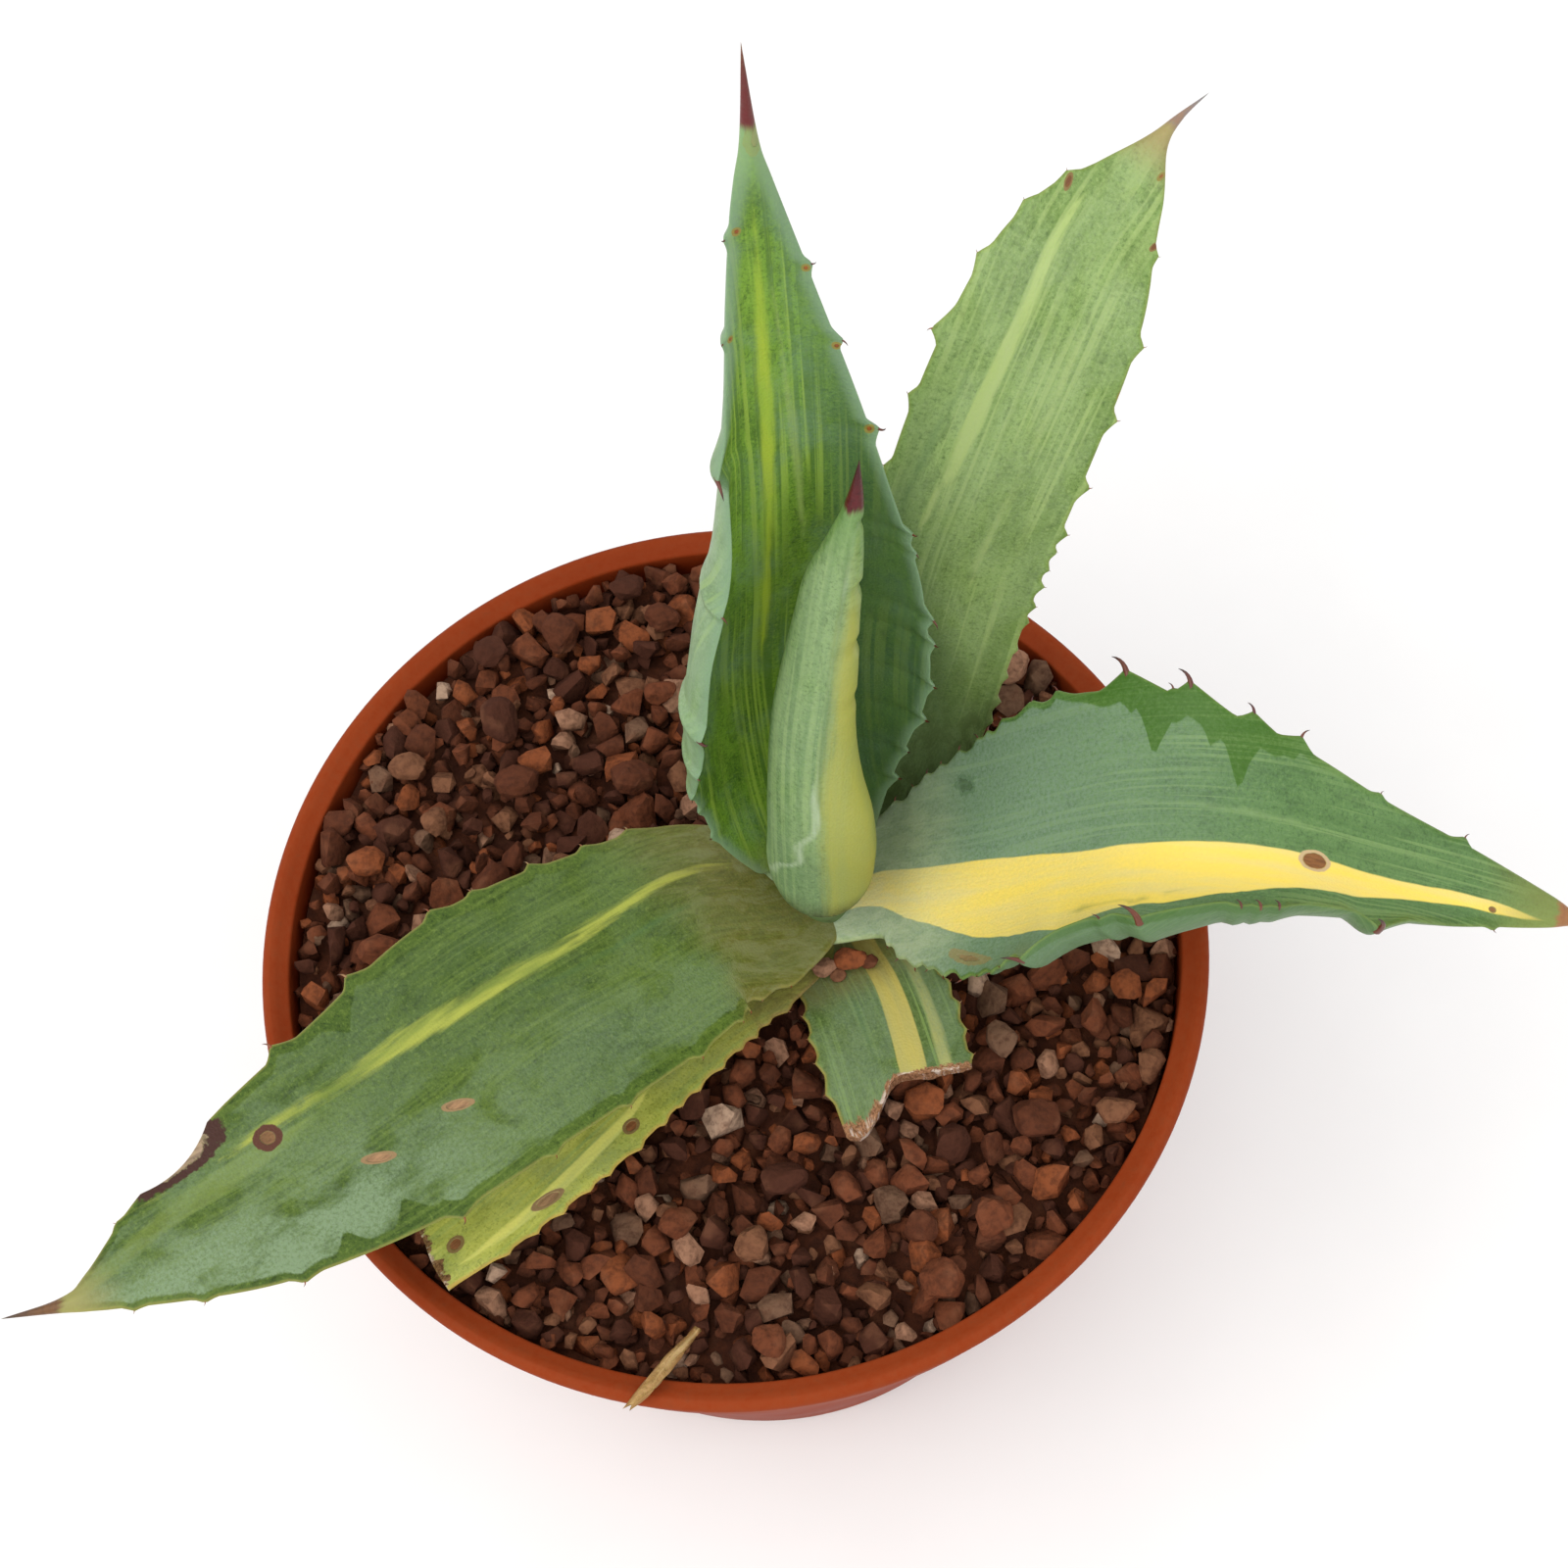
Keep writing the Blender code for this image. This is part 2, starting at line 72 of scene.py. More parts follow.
spearLeaf = dict(
    node="spear_leaf", azimuth=65, roll=(0, 0), thick=(11.5, 1.6), rounded=True, seed=3,
    root=(12.0, -0.4, 8.6, 1.6, 0, 0),
    stations=(
        (12.0, -0.6, 9.9, 3.2, 0, 0), (12.0, -0.5, 15, 6.0, 0, 0), (12.2, 1.0, 28, 6.2, 0, 0),
        (13.4, 4.5, 42, 5.2, 0, 0), (16.0, 8.7, 57, 3.3, 0, 0), (18.2, 11.8, 69, 1.6, 0, 0),
        (19.3, 13.0, 74.4, 0.8, 0, 0), (19.9, 14.0, 79.6, 0.0, 0, 0),
    ),
    widen=(
        (0, 1.1, 1), (8, 1.08, 1.02), (14, 1.01, 1.07), (20, 1.01, 1.02), (25, 1.03, 0.88),
        (29, 1.07, 0.8), (34, 1.14, 0.75), (44, 1.3, 0.8), (50, 1.45, 0.82), (56, 1.62, 0.94),
        (60, 1.42, 1.02), (64, 1.15, 1),
    ),
    notches=((1, 63.6, 0.3, 1.0), (1, 54.8, 0.45, 1.3), (1, 46.6, 0.35, 1.4), (1, 38.5, 0.25, 1.6)),
    teeth=(), small=None,
    fields=dict(
        broad=(
            (-3, 5.6, 3.0), (4, 5.2, 3.2), (14, 4.6, 3.0), (26, 3.9, 2.4), (38, 3.0, 1.5),
            (50, 1.9, 0.7), (58, 1.2, -0.3),
        ),
        thin=((20, 0.8, -0.2), (27, 1.0, 0.25), (45, 0.9, 0.25), (58, 0.5, 0.15), (64, 0.2, -0.2)),
        mark=(
            (6, -7.0, 0.2), (8, -5.4, 0.3), (11, -4.0, 0.3), (13, -1.6, 0.35), (17, -1.2, 0.35),
            (19, 0.3, 0.3), (26, 0.5, 0.2), (30, 0.8, -0.2),
        ),
    ),
)
innerLeaf = dict(
    node="inner_leaf", azimuth=100, roll=(0, 0), thick=(3.2, 1.2), seed=4,
    root=(12.0, 2.0, 4.5, 6.0, 40, 40),
    stations=(
        (11.5, 7.0, 7, 8.5, 45, 50), (9.8, 12.5, 20, 14.8, 55, 70), (9.6, 16.0, 37, 19.6, 108, 75),
        (11.0, 18.0, 54, 17.3, 112, 70), (11.8, 19.0, 70, 12.6, 118, 60), (12.1, 20.0, 86, 8.5, 75, 50),
        (12.2, 21.1, 100, 5.0, 55, 45), (12.2, 22.2, 113, 1.9, 30, 30), (12.3, 22.8, 118, 0.85, 0, 0),
        (12.4, 23.8, 128.4, 0.0, 0, 0),
    ),
    widen=(
        (0, 1, 1), (8, 0.97, 1), (14, 0.9, 1), (26, 0.97, 1), (36, 1, 1), (66, 1, 1), (76, 0.86, 1),
        (84, 0.8, 1), (96, 0.88, 1), (106, 1, 1),
    ),
    teeth=(
        (-1, 103, 0.7, 1), (-1, 91, 0.7, 1), (-1, 75, 1.9, -1), (-1, 58, 1.0, -1), (-1, 38, 1.6, 1),
        (-1, 30, 0.8, 1), (-1, 23, 0.8, 1), (-1, 16, 0.7, 1), (-1, 10, 0.7, 1), (1, 97.4, 0.7, 1),
        (1, 87, 0.8, -1), (1, 74.2, 1.1, 1), (1, 58.2, 0.9, 1), (1, 55, 0.6, -1), (1, 44.6, 1.1, -1),
        (1, 40.6, 0.9, 1), (1, 32, 0.9, 1), (1, 24.6, 1.1, 1), (1, 17, 0.8, 1), (1, 10.2, 1.1, 1),
    ),
    small=None,
    fields=dict(
        broad=(
            (30, -1.9, -0.4), (40, -1.8, 0.3), (52, -1.5, 0.5), (64, -1.2, 0.6), (74, -0.9, 0.75),
            (86, -0.8, 0.7), (98, -0.5, 0.3), (108, -0.3, -0.3),
        ),
        thin=((48, 2.6, -0.3), (56, 2.5, 0.3), (66, 2.3, 0.45), (80, 1.6, 0.35), (100, 0.6, -0.2)),
        # painted shade over the lower part and right side of the hollow leaf
        dusk=(
            (-5, 9.0, 8.0), (20, 13.0, 8.0), (40, 14.0, 9.0), (60, 11.0, 6.0), (75, 8.0, 3.0),
            (92, 6.0, 0.5), (110, 3.0, -2.0),
        ),
        mark=(
            (30, 15.0, -0.2), (36, 13.8, 0.25), (42, 11.4, 0.3), (46, 8.2, 0.3), (50, 8.0, 0.3),
            (56, 6.0, 0.25), (60, 4.6, -0.2),
        ),
    ),
)
backLeaf = dict(
    node="back_leaf", azimuth=70, roll=(-8, -8), thick=(3.4, 1.2), seed=5,
    root=(14.5, 4.0, -0.5, 6.5, 20, 20),
    stations=(
        (19.0, 9.5, 2, 8.0, 20, 20), (22.3, 13.8, 9, 9.2, 25, 25), (25.2, 17.0, 16, 9.8, 25, 25),
        (28.4, 19.8, 30, 10.2, 22, 22), (31.5, 22.0, 45, 10.6, 20, 20), (36.2, 24.5, 60, 10.2, 18, 18),
        (42.5, 29.5, 74, 9.3, 18, 18), (47.3, 34.6, 80.5, 7.5, 18, 18), (52.2, 38.6, 84.3, 4.2, 12, 12),
        (55.8, 42.0, 86.3, 1.25, 5, 5), (58.5, 44.0, 87.3, 0.4, 0, 0), (62.0, 46.0, 88, 0.0, 0, 0),
    ),
    widen=((0, 1, 1), (55, 1.02, 1), (68, 1.1, 1), (78, 1.13, 1), (88, 1.1, 1), (97, 1, 1)),
    teeth=(
        (-1, 69, 0.9, 1), (-1, 76.5, 1.4, -1), (-1, 84.5, 0.9, 1), (-1, 90, 0.7, 1), (-1, 94, 0.7, 1),
        (-1, 60, 0.8, 1), (1, 92.4, 0.6, 1), (1, 82, 0.9, 1), (1, 73, 1.0, 1), (1, 63.6, 1.1, 1),
        (1, 56, 0.9, 1),
    ),
    small=dict(start=3, end=54, gap=4.2, size=(0.5, 0.8)),
    fields=dict(
        broad=(
            (48, -5.2, -0.3), (54, -4.8, 0.5), (62, -4.2, 0.75), (71.6, -3.7, 0.85), (82, -3.3, 0.75),
            (90, -3.6, 0.4), (95, -3.4, -0.2),
        ),
        thin=(
            (40, 2.6, -0.3), (47, 2.8, 0.3), (56, 3.2, 0.45), (68, 3.4, 0.35), (80, 3.2, 0.3),
            (88, 2.6, -0.2),
        ),
        # painted shade low on the leaf, in the heart of the rosette
        dusk=((0, 0, 12), (30, -4, 8), (45, -7, 4), (60, -9, 0.5), (75, -9, -1), (90, -8, -3)),
        mark=((50, -8.2, -0.3), (58, -7.8, 0.3), (70, -7.0, 0.35), (78, -6.6, -0.2)),
    ),
)
rightLeaf = dict(
    node="right_leaf", azimuth=-14, roll=(-8, -22), thick=(3.8, 1.2), seed=6,
    root=(12.6, 0.6, 4.2, 7.0, 30, 30),
    stations=(
        (20.2, 0.0, 7.5, 8.2, 25, 25), (25.4, -2.2, 12.5, 11.8, 22, 28),
        (32.8, -4.8, 18.5, 15.3, 18, 45), (39.8, -6.5, 24.0, 17.5, 15, 65),
        (46.7, -8.5, 29.0, 16.7, 15, 75), (54.2, -11.1, 32.0, 14.5, 15, 80),
        (62.7, -13.5, 31.5, 11.1, 15, 75), (73.2, -16.2, 27.0, 7.6, 12, 60),
        (84.6, -18.6, 21.0, 4.8, 10, 40), (95.5, -20.9, 14.8, 2.0, 5, 5),
        (99.0, -21.8, 13.0, 0.8, 0, 0), (104.0, -22.8, 10.5, 0.0, 0, 0),
    ),
    widen=(
        (0, 1, 1), (12, 1, 1.02), (22, 1, 1.1), (32, 1, 1.22), (50, 1, 1.3), (66, 1, 1.25), (82, 1, 1),
    ),
    rollIn=(
        (0, 0, 0), (14, 0, 4), (24, 0, 26), (34, 0, 42), (50, 0, 45), (66, 0, 40), (80, 0, 10),
        (90, 0, 0),
    ),
    teeth=(
        (-1, 25, 0.9, 1), (-1, 28.2, 1.0, -1), (-1, 35.7, 2.7, -1), (-1, 40.2, 1.0, -1),
        (-1, 41.8, 2.4, -1), (-1, 48.2, 1.5, -1), (-1, 53.2, 1.4, 1), (-1, 64, 0.6, 1),
        (-1, 76.5, 0.9, 1), (1, 22, 0.8, 1), (1, 27, 2.4, -1), (1, 37, 1.1, -1), (1, 40.5, 3.0, -1),
        (1, 47.3, 1.3, -1), (1, 48.8, 1.5, -1), (1, 50.4, 1.4, -1), (1, 62, 3.0, -1), (1, 82, 0.6, 1),
    ),
    small=dict(start=1, end=21, gap=2.5, size=(0.65, 1.05)),
    fields=dict(
        broad=(
            (-4, 1.4, 1.9), (0, 1.8, 2.4), (9, 3.6, 3.8), (18, 5.4, 5.4), (30, 6.8, 5.2),
            (36.5, 6.0, 4.5), (42, 5.5, 4.1), (52, 3.9, 2.8), (64.5, 3.0, 1.6), (78, 1.7, 0.8),
            (87, 1.5, 0.3), (92, 1.2, -0.4),
        ),
        thin=(
            (8, -4.2, -0.3), (16, -4.6, 0.3), (28, -4.4, 0.4), (40, -3.2, 0.4), (54, -2.2, 0.3),
            (70, -1.2, -0.2),
        ),
        mark=((24, 8.0, -0.2), (27, 9.0, 0.25), (36, 9.6, 0.3), (44, 7.6, 0.25), (50, 6.4, -0.2)),
    ),
    bare=(
        (-8, 0.2, 0.2), (20, 0.3, 0.3), (28, 0.9, 0.6), (32, 1.2, 1), (35.5, 3.2, 1), (41, 3.9, 1),
        (50.5, 2.6, 1), (55, 0.9, 1), (62, 0.6, 1), (80, 0.5, 1), (95, 0.5, 1),
    ),
    rubs=(
        (-1, 36.0, 1.8, 0.9), (-1, 38.4, 4.8, 1.7), (-1, 44.2, 1.6, 1.0), (-1, 47.4, 5.6, 1.9),
        (-1, 52.6, 1.0, 0.9),
    ),
)
leftLeaf = dict(
    node="left_leaf", azimuth=208, roll=(0, 0), thick=(3.8, 1.2), seed=7,
    root=(12.5, 1.5, 3.2, 9.5, 25, 25),
    stations=(
        (4.6, -1.0, 6.0, 12.0, 20, 20), (-4.6, -1.9, 9, 14.6, 20, 20), (-14.4, -7.0, 12, 16.2, 18, 18),
        (-27.6, -14.3, 16, 16.7, 15, 15), (-41.0, -23.3, 18.5, 15.0, 15, 15),
        (-55.0, -31.0, 21, 11.8, 15, 15), (-66.0, -36.0, 22.8, 7.5, 12, 12),
        (-74.4, -40.0, 24, 2.6, 5, 5), (-78.2, -41.0, 24, 0.9, 0, 0), (-85.5, -41.1, 23, 0.0, 0, 0),
    ),
    widen=(
        (-13, 0.5, 1), (-8, 0.6, 1), (-4.3, 0.75, 1), (0, 0.9, 0.98), (4, 1, 0.95), (8, 1, 0.93),
        (14, 1, 0.93), (24, 1, 0.97), (40, 1, 1), (60, 1, 1),
    ),
    teeth=(
        (1, 11.2, 0.8, 1), (1, 15.6, 0.8, 1), (1, 23.2, 0.9, 1), (1, 31, 0.7, 1), (1, 36, 1.1, 1),
        (1, 47.5, 1.4, 1), (1, 61, 1.5, 1), (1, 86, 0.5, 1), (-1, 1, 0.8, 1), (-1, 4, 0.8, 1),
        (-1, 9.6, 0.9, 1), (-1, 14, 0.7, 1), (-1, 21, 0.9, 1), (-1, 32, 0.8, 1), (-1, 44, 0.8, 1),
        (-1, 55.2, 1.3, 1), (-1, 72, 0.9, 1), (-1, 82, 0.7, 1), (-1, 88.8, 0.6, 1),
    ),
    small=None, notches=((1, 77.2, 1.5, 5.0),),
    fields=dict(
        broad=(
            (-6, 7.8, 0.1), (6, 6.8, 0.3), (16, 5.3, 0.6), (26, 4.7, 0.9), (36, 4.8, 1.1),
            (49, 6.1, 1.0), (58, 6.5, 0.7), (67, 6.4, 0.5), (74, 6, -0.3),
        ),
        thin=(
            (56, 4.8, -0.6), (62, 4.6, 0.5), (70, 4.0, 1.2), (79, 3.2, 1.3), (87, 1.6, 1.0),
            (93, 0.4, 0.6), (96, 0, 0),
        ),
        mark=((6, 1.6, -0.2), (12, 1.4, 0.35), (24, 1.2, 0.4), (38, 0.8, 0.3), (46, 0.6, -0.2)),
    ),
    bare=(
        (-8, 0.3, 0.3), (10, 1.4, 1.2), (40, 1.6, 1.8), (60, 1.2, 1.4), (80, 0.8, 1.0), (95, 0.6, 0.6),
    ),
    rubs=(
        (-1, 59, 3.2, 2.6), (-1, 55.5, 1.6, 1.6), (-1, 66, 2.4, 2.0), (1, 30, 2.0, 2.4),
        (1, 52, 2.6, 3.0),
    ),
)
underLeaf = dict(
    node="left_under_leaf", azimuth=218, roll=(0, 0), thick=(2.8, 1.8), seed=8, trimmed=True,
    root=(12.0, 0.5, -1.0, 6.0, 20, 20),
    stations=(
        (4.0, -3.6, 0.3, 8.0, 15, 15), (-4.5, -7.2, 1.2, 9.6, 12, 12),
        (-15.5, -14.3, 2.2, 10.5, 12, 12), (-23.6, -20.5, 3.2, 10.6, 12, 12),
        (-35.3, -28.9, 4.0, 9.5, 10, 10), (-42.4, -33.4, 4.3, 8.3, 10, 10),
    ),
    teeth=(), small=dict(start=2, end=52, gap=3.6, size=(0.5, 0.8)),
    tornEdge=((-1, 1.6), (-0.6, 1.2), (-0.2, 0.2), (0.3, -0.6), (1, -1.4)),
    fields=dict(
        broad=(
            (22, -6.0, -0.4), (28, -7.0, 0.5), (36, -7.4, 0.8), (44, -7.6, 0.7), (52, -7.0, 0.2),
            (55, -6.8, -0.2),
        ),
        thin=((4, -2.0, -0.2), (14, -3.0, 0.3), (30, -3.4, 0.35), (48, -3.0, -0.1)),
        mark=((4, 2.0, -0.3), (14, 2.4, 0.3), (40, 2.0, -0.1)),
    ),
)
cutLeaf = dict(
    node="cut_leaf", azimuth=281, roll=(0, 0), thick=(2.8, 2.2), seed=9, trimmed=True,
    root=(12.8, -1.5, -1.2, 5.5, 15, 15),
    stations=(
        (14.5, -7.8, -0.2, 7.4, 18, 18), (15.8, -12.5, 1.0, 8.8, 20, 20),
        (16.7, -18.0, 1.8, 9.2, 18, 18), (17.7, -27.0, 2.4, 8.6, 15, 15),
    ),
    tornEdge=((-1, -1.6), (-0.4, -2.4), (0.15, -2.6), (0.45, 0.6), (0.8, 3.2), (1, 2.6)), teeth=(),
    small=dict(start=1, end=18, gap=3.1, size=(0.5, 0.8)),
    fields=dict(
        broad=((-6, -2.2, 1.3), (4, -2.3, 1.6), (11, -2.0, 1.65), (22, -1.5, 1.7)),
        thin=((-4, -6.2, 0.5), (7, -6.1, 0.65), (22, -5.7, 0.65)),
        mark=((-2, 2.4, -0.2), (6, 2.6, 0.3), (16, 2.4, -0.2)),
    ),
)
dryScrap = dict(
    node="dry_leaf_scrap", azimuth=221, roll=(0, 0), thick=(0.7, 0.5), seed=10, trimmed=True,
    root=(-11.6, -48.6, -2.9, 0.5, 20, 20),
    stations=(
        (-12.3, -49.4, -2.5, 0.5, 40, 40), (-15.0, -52.3, -0.3, 0.8, 65, 50),
        (-17.6, -55.0, 1.1, 0.85, 60, 45), (-20.4, -57.2, 1.5, 0.35, 20, 20),
    ),
    teeth=(), small=None, tornEdge=((-1, 0.4), (0, -0.2), (1, 0.8)), fields=dict(),
)
allLeaves = (spearLeaf, innerLeaf, backLeaf, rightLeaf, leftLeaf, underLeaf, cutLeaf, dryScrap)


def catmull(values, places):  # soft curve through evenly spaced values
    values = np.asarray(values, float)
    last = len(values) - 1
    i = np.clip(places.astype(int), 0, last - 1)
    f = places - i
    b = values[i]
    c = values[i + 1]
    a = np.where(i > 0, values[np.maximum(i - 1, 0)], 2 * b - c)
    d = np.where(i + 2 <= last, values[np.minimum(i + 2, last)], 2 * c - b)
    return b + ((c - a) * f + (2 * a - 5 * b + 4 * c - d) * f**2 + (3 * b - a - 3 * c + d) * f**3) / 2


def softRead(controls, column, at):  # soft reading of rows that start with a rising place
    rows = np.array(controls, float)
    knots = rows[:, 0]
    values = rows[:, column]
    slopes = np.gradient(values, knots)
    at = np.clip(at, knots[0], knots[-1])
    i = np.clip(np.searchsorted(knots, at) - 1, 0, len(knots) - 2)
    gap = knots[i + 1] - knots[i]
    f = (at - knots[i]) / gap
    start = values[i] * (2 * f**3 - 3 * f**2 + 1) + gap * slopes[i] * (f**3 - 2 * f**2 + f)
    return start + values[i + 1] * (3 * f**2 - 2 * f**3) + gap * slopes[i + 1] * (f**3 - f**2)


def unit(rows):
    return rows / np.linalg.norm(rows, axis=1, keepdims=True)


def leafRings(leaf):  # the leaf's centre line, directions and sizes at each of its rings
    rows = np.array((leaf["root"],) + leaf["stations"], float)
    last = len(rows) - 1
    places = np.linspace(0, last, 50 * last)
    fine = np.column_stack([catmull(rows[:, k], places) for k in range(6)])
    steps = np.linalg.norm(np.diff(fine[:, :3], axis=0), axis=1)
    length = np.concatenate([[0], np.cumsum(steps)])
    total = length[-1]
    tipStart = total - 12
    body = np.arange(0, tipStart, leafDetail["ringGap"])
    tip = np.arange(tipStart, total - 0.1, leafDetail["tipRingGap"])
    at = np.concatenate([body, tip])
    if leaf.get("trimmed"):
        at = np.append(at, total)
    read = [np.interp(at, length, fine[:, k]) for k in range(6)]
    place = np.interp(at, length, places)
    tangent = np.column_stack([np.interp(at, length, np.gradient(fine[:, k], length)) for k in range(3)])
    along = unit(tangent)
    azimuth = math.radians(leaf["azimuth"])
    side = np.tile((math.sin(azimuth), -math.cos(azimuth), 0.0), (len(at), 1))
    side = unit(side - along * (side * along).sum(1, keepdims=True))
    up = np.cross(side, along)
    share = np.clip((place - 1) / (last - 1), 0, 1)
    roll = np.radians(leaf["roll"][0] + (leaf["roll"][1] - leaf["roll"][0]) * share)[:, None]
    side, up = side * np.cos(roll) + up * np.sin(roll), up * np.cos(roll) - side * np.sin(roll)
    thick = leaf["thick"][0] + (leaf["thick"][1] - leaf["thick"][0]) * share
    start = np.interp(1, places, length)
    return dict(
        centre=np.column_stack(read[:3]), half=np.maximum(read[3], 0.04),
        curl=np.radians(np.clip(read[4:6], 0, 200)),
        side=side, up=up, along=along, thick=thick, place=at - start, toTip=total - at, end=total - start,
    )


def toothList(leaf):  # the leaf's own teeth, and small ones spread along its lower margins
    found = list(leaf["teeth"])
    small = leaf["small"]
    if small:
        rng = random.Random(leaf["seed"])
        for side in (-1, 1):
            place = small["start"] + rng.uniform(0, 1)
            while place < small["end"]:
                found.append((side, place, rng.uniform(*small["size"]), rng.choice((-1, 1))))
                place += small["gap"] * rng.uniform(0.7, 1.3)
    return found


def marginBumps(leaf, rings, hand):  # each tooth stands on a low point of the margin
    extra = np.zeros(len(rings["place"]))
    for side, place, size, hook in toothList(leaf):
        if side == hand:
            # steep on the side the thorn points to
            lean = np.where((rings["place"] - place) * hook > 0, 0.8, 1.9)
            near = np.clip(1 - np.abs(rings["place"] - place) / (lean * size + 0.5), 0, 1)
            extra = np.maximum(extra, 0.95 * size * near**1.35)
    for side, place, depth, reach in leaf.get("notches", ()):
        if side == hand:
            extra = extra - depth * np.clip(1 - ((rings["place"] - place) / reach) ** 2, 0, 1)
    return extra


# points of the leaf's skin, one row for each ring, with the distances along and across it
def leafSurface(leaf):
    rings = leafRings(leaf)
    columns = leafDetail["columns"]
    turn = np.pi * np.arange(2 * columns) / columns
    share = np.cos(turn)
    reach = np.abs(share)
    hand = np.where(share >= 0, 1, -1)
    upper = np.sin(turn) >= -1e-9
    count = len(rings["place"])
    half = np.empty((count, 2 * columns))
    curl = np.empty((count, 2 * columns))
    for sign in (1, -1):
        column = 2 if sign > 0 else 1
        factor = softRead(leaf["widen"], column, rings["place"]) if "widen" in leaf else 1.0
        rolled = softRead(leaf["rollIn"], column, rings["place"]) if "rollIn" in leaf else 0.0
        width = rings["half"] * factor + marginBumps(leaf, rings, sign)
        half[:, hand == sign] = width[:, None]
        curl[:, hand == sign] = (rings["curl"][column - 1] + np.radians(rolled))[:, None]
    pieces = 16
    sideways = np.zeros_like(half)
    rise = np.zeros_like(half)
    for k in range(pieces):
        slope = curl * ((k + 0.5) / pieces * reach) ** leafDetail["curlPower"]
        sideways += half * reach / pieces * np.cos(slope)
        rise += half * reach / pieces * np.sin(slope)
    slope = curl * reach ** leafDetail["curlPower"]
    thick = np.minimum(rings["thick"], 2 * rings["half"])[:, None]
    roundness = np.sqrt(np.clip(1 - reach**2, 0, 1))
    blade = np.sqrt(np.clip(1 - reach**12, 0, 1)) * (1 - 0.68 * reach**1.6)
    tipness = np.clip((9 - rings["toTip"]) / 5, 0, 1)[:, None]
    blade = roundness if leaf.get("rounded") else blade * (1 - tipness) + roundness * tipness
    body = thick / 2 * blade * np.where(upper, 1, -1)
    acrossMm = half * share
    placeMm = np.tile(rings["place"][:, None], (1, 2 * columns))
    relief = leafRelief(leaf, placeMm, acrossMm, half, upper, rings)
    body = body + relief * np.where(upper, 1, -1)
    handRow = np.tile(hand, (count, 1))
    out = handRow * (sideways - body * np.sin(slope))
    lift = rise + body * np.cos(slope)
    points = rings["centre"][:, None, :] + rings["side"][:, None, :] * out[..., None]
    points = points + rings["up"][:, None, :] * lift[..., None]
    if "tornEdge" in leaf:
        pull = np.clip((placeMm - (rings["end"] - 9)) / 9, 0, 1) ** 2
        pull = pull * softRead(leaf["tornEdge"], 1, share)
        points = points + rings["along"][:, None, :] * pull[..., None]
    return dict(
        points=points, across=acrossMm, place=placeMm, toMargin=half * (1 - reach), upper=upper,
        toTip=np.tile(rings["toTip"][:, None], (1, 2 * columns)), rings=rings, half=half, slope=slope,
    )


def leafRelief(leaf, place, across, half, upper, rings):  # raised and sunk detail of the skin, in mm
    reach = np.clip(np.abs(across) / half, 0, 1)
    inside = 1 - reach**6
    slow = np.sin(0.21 * place + leaf["seed"]) * np.sin(0.34 * across + 0.07 * place)
    relief = 0.10 * slow * inside
    if "mark" in leaf["fields"]:  # a line pressed in by a neighbour in the bud
        depth = np.clip(fieldValues(leaf, "mark", place, across) + 0.6, 0, 0.8)
        relief = relief - 0.16 * depth * inside
    if leaf.get("rounded"):  # the seam where the leaf's two margins are still wrapped together
        relief = relief + 0.45 * np.clip(fieldValues(leaf, "thin", place, across) + 0.2, 0, 0.5)
    if leaf is dryScrap:
        relief = relief + 0.12 * np.sin(5 * across + 2 * np.sin(place))
    elif leaf.get("trimmed"):
        torn = np.clip(1 - (rings["end"] - place) / 3, 0, 1)
        relief = relief + 0.35 * torn * np.sin(2.1 * across + 0.8) * np.sin(3.7 * across)
    return relief


def fieldValues(leaf, label, place, across):
    rows = leaf["fields"][label]
    return softRead(rows, 2, place) - np.abs(across - softRead(rows, 1, place))


def put(tree, kind, values=None, **settings):  # a node, with its settings, and its inputs set or linked
    node = tree.nodes.new(kind)
    for key, value in settings.items():
        setattr(node, key, value)
    for key, value in (values or {}).items():
        if isinstance(value, bpy.types.NodeSocket):
            tree.links.new(value, node.inputs[key])
        else:
            node.inputs[key].default_value = value
    return node


def calc(tree, operation, a, b=0.0, clamp=False):
    return put(tree, "ShaderNodeMath", {0: a, 1: b}, operation=operation, use_clamp=clamp).outputs[0]


def blend(tree, factor, a, b, mode="MIX"):
    node = put(tree, "ShaderNodeMix", {0: factor, 6: a, 7: b}, data_type="RGBA", blend_type=mode)
    return node.outputs[2]


def blendFloat(tree, factor, a, b):
    return put(tree, "ShaderNodeMix", {0: factor, 2: a, 3: b}, data_type="FLOAT").outputs[0]


def product(tree, first, *others):
    for other in others:
        first = calc(tree, "MULTIPLY", first, other)
    return first


def plus(tree, a, b):
    return calc(tree, "ADD", a, b)


def minus(tree, a, b, clamp=False):
    return calc(tree, "SUBTRACT", a, b, clamp)


def swing(tree, value, *sizes):  # a pattern's value, moved to swing about nought and scaled
    return product(tree, minus(tree, value, 0.5), *sizes)


def fit(tree, value, low, high, outLow=0.0, outHigh=1.0):
    values = {0: value, 1: low, 2: high, 3: outLow, 4: outHigh}
    return put(tree, "ShaderNodeMapRange", values, interpolation_type="SMOOTHSTEP").outputs[0]


def stretched(tree, vector, scale):
    return put(tree, "ShaderNodeMapping", {"Vector": vector, "Scale": scale}).outputs[0]


def clouds(tree, vector, scale, detail=3.0, roughness=0.55, distortion=0.0):
    values = {"Vector": vector, "Scale": scale, "Detail": detail, "Roughness": roughness,
              "Distortion": distortion}
    return put(tree, "ShaderNodeTexNoise", values).outputs["Fac"]


def fibres(tree, vector, scale, *more):  # clouds drawn out along the leaf
    return clouds(tree, stretched(tree, vector, scale), 1.0, *more)


def cells(tree, vector, scale):
    values = {"Vector": vector, "Scale": scale}
    return put(tree, "ShaderNodeTexVoronoi", values, feature="SMOOTH_F1").outputs["Distance"]


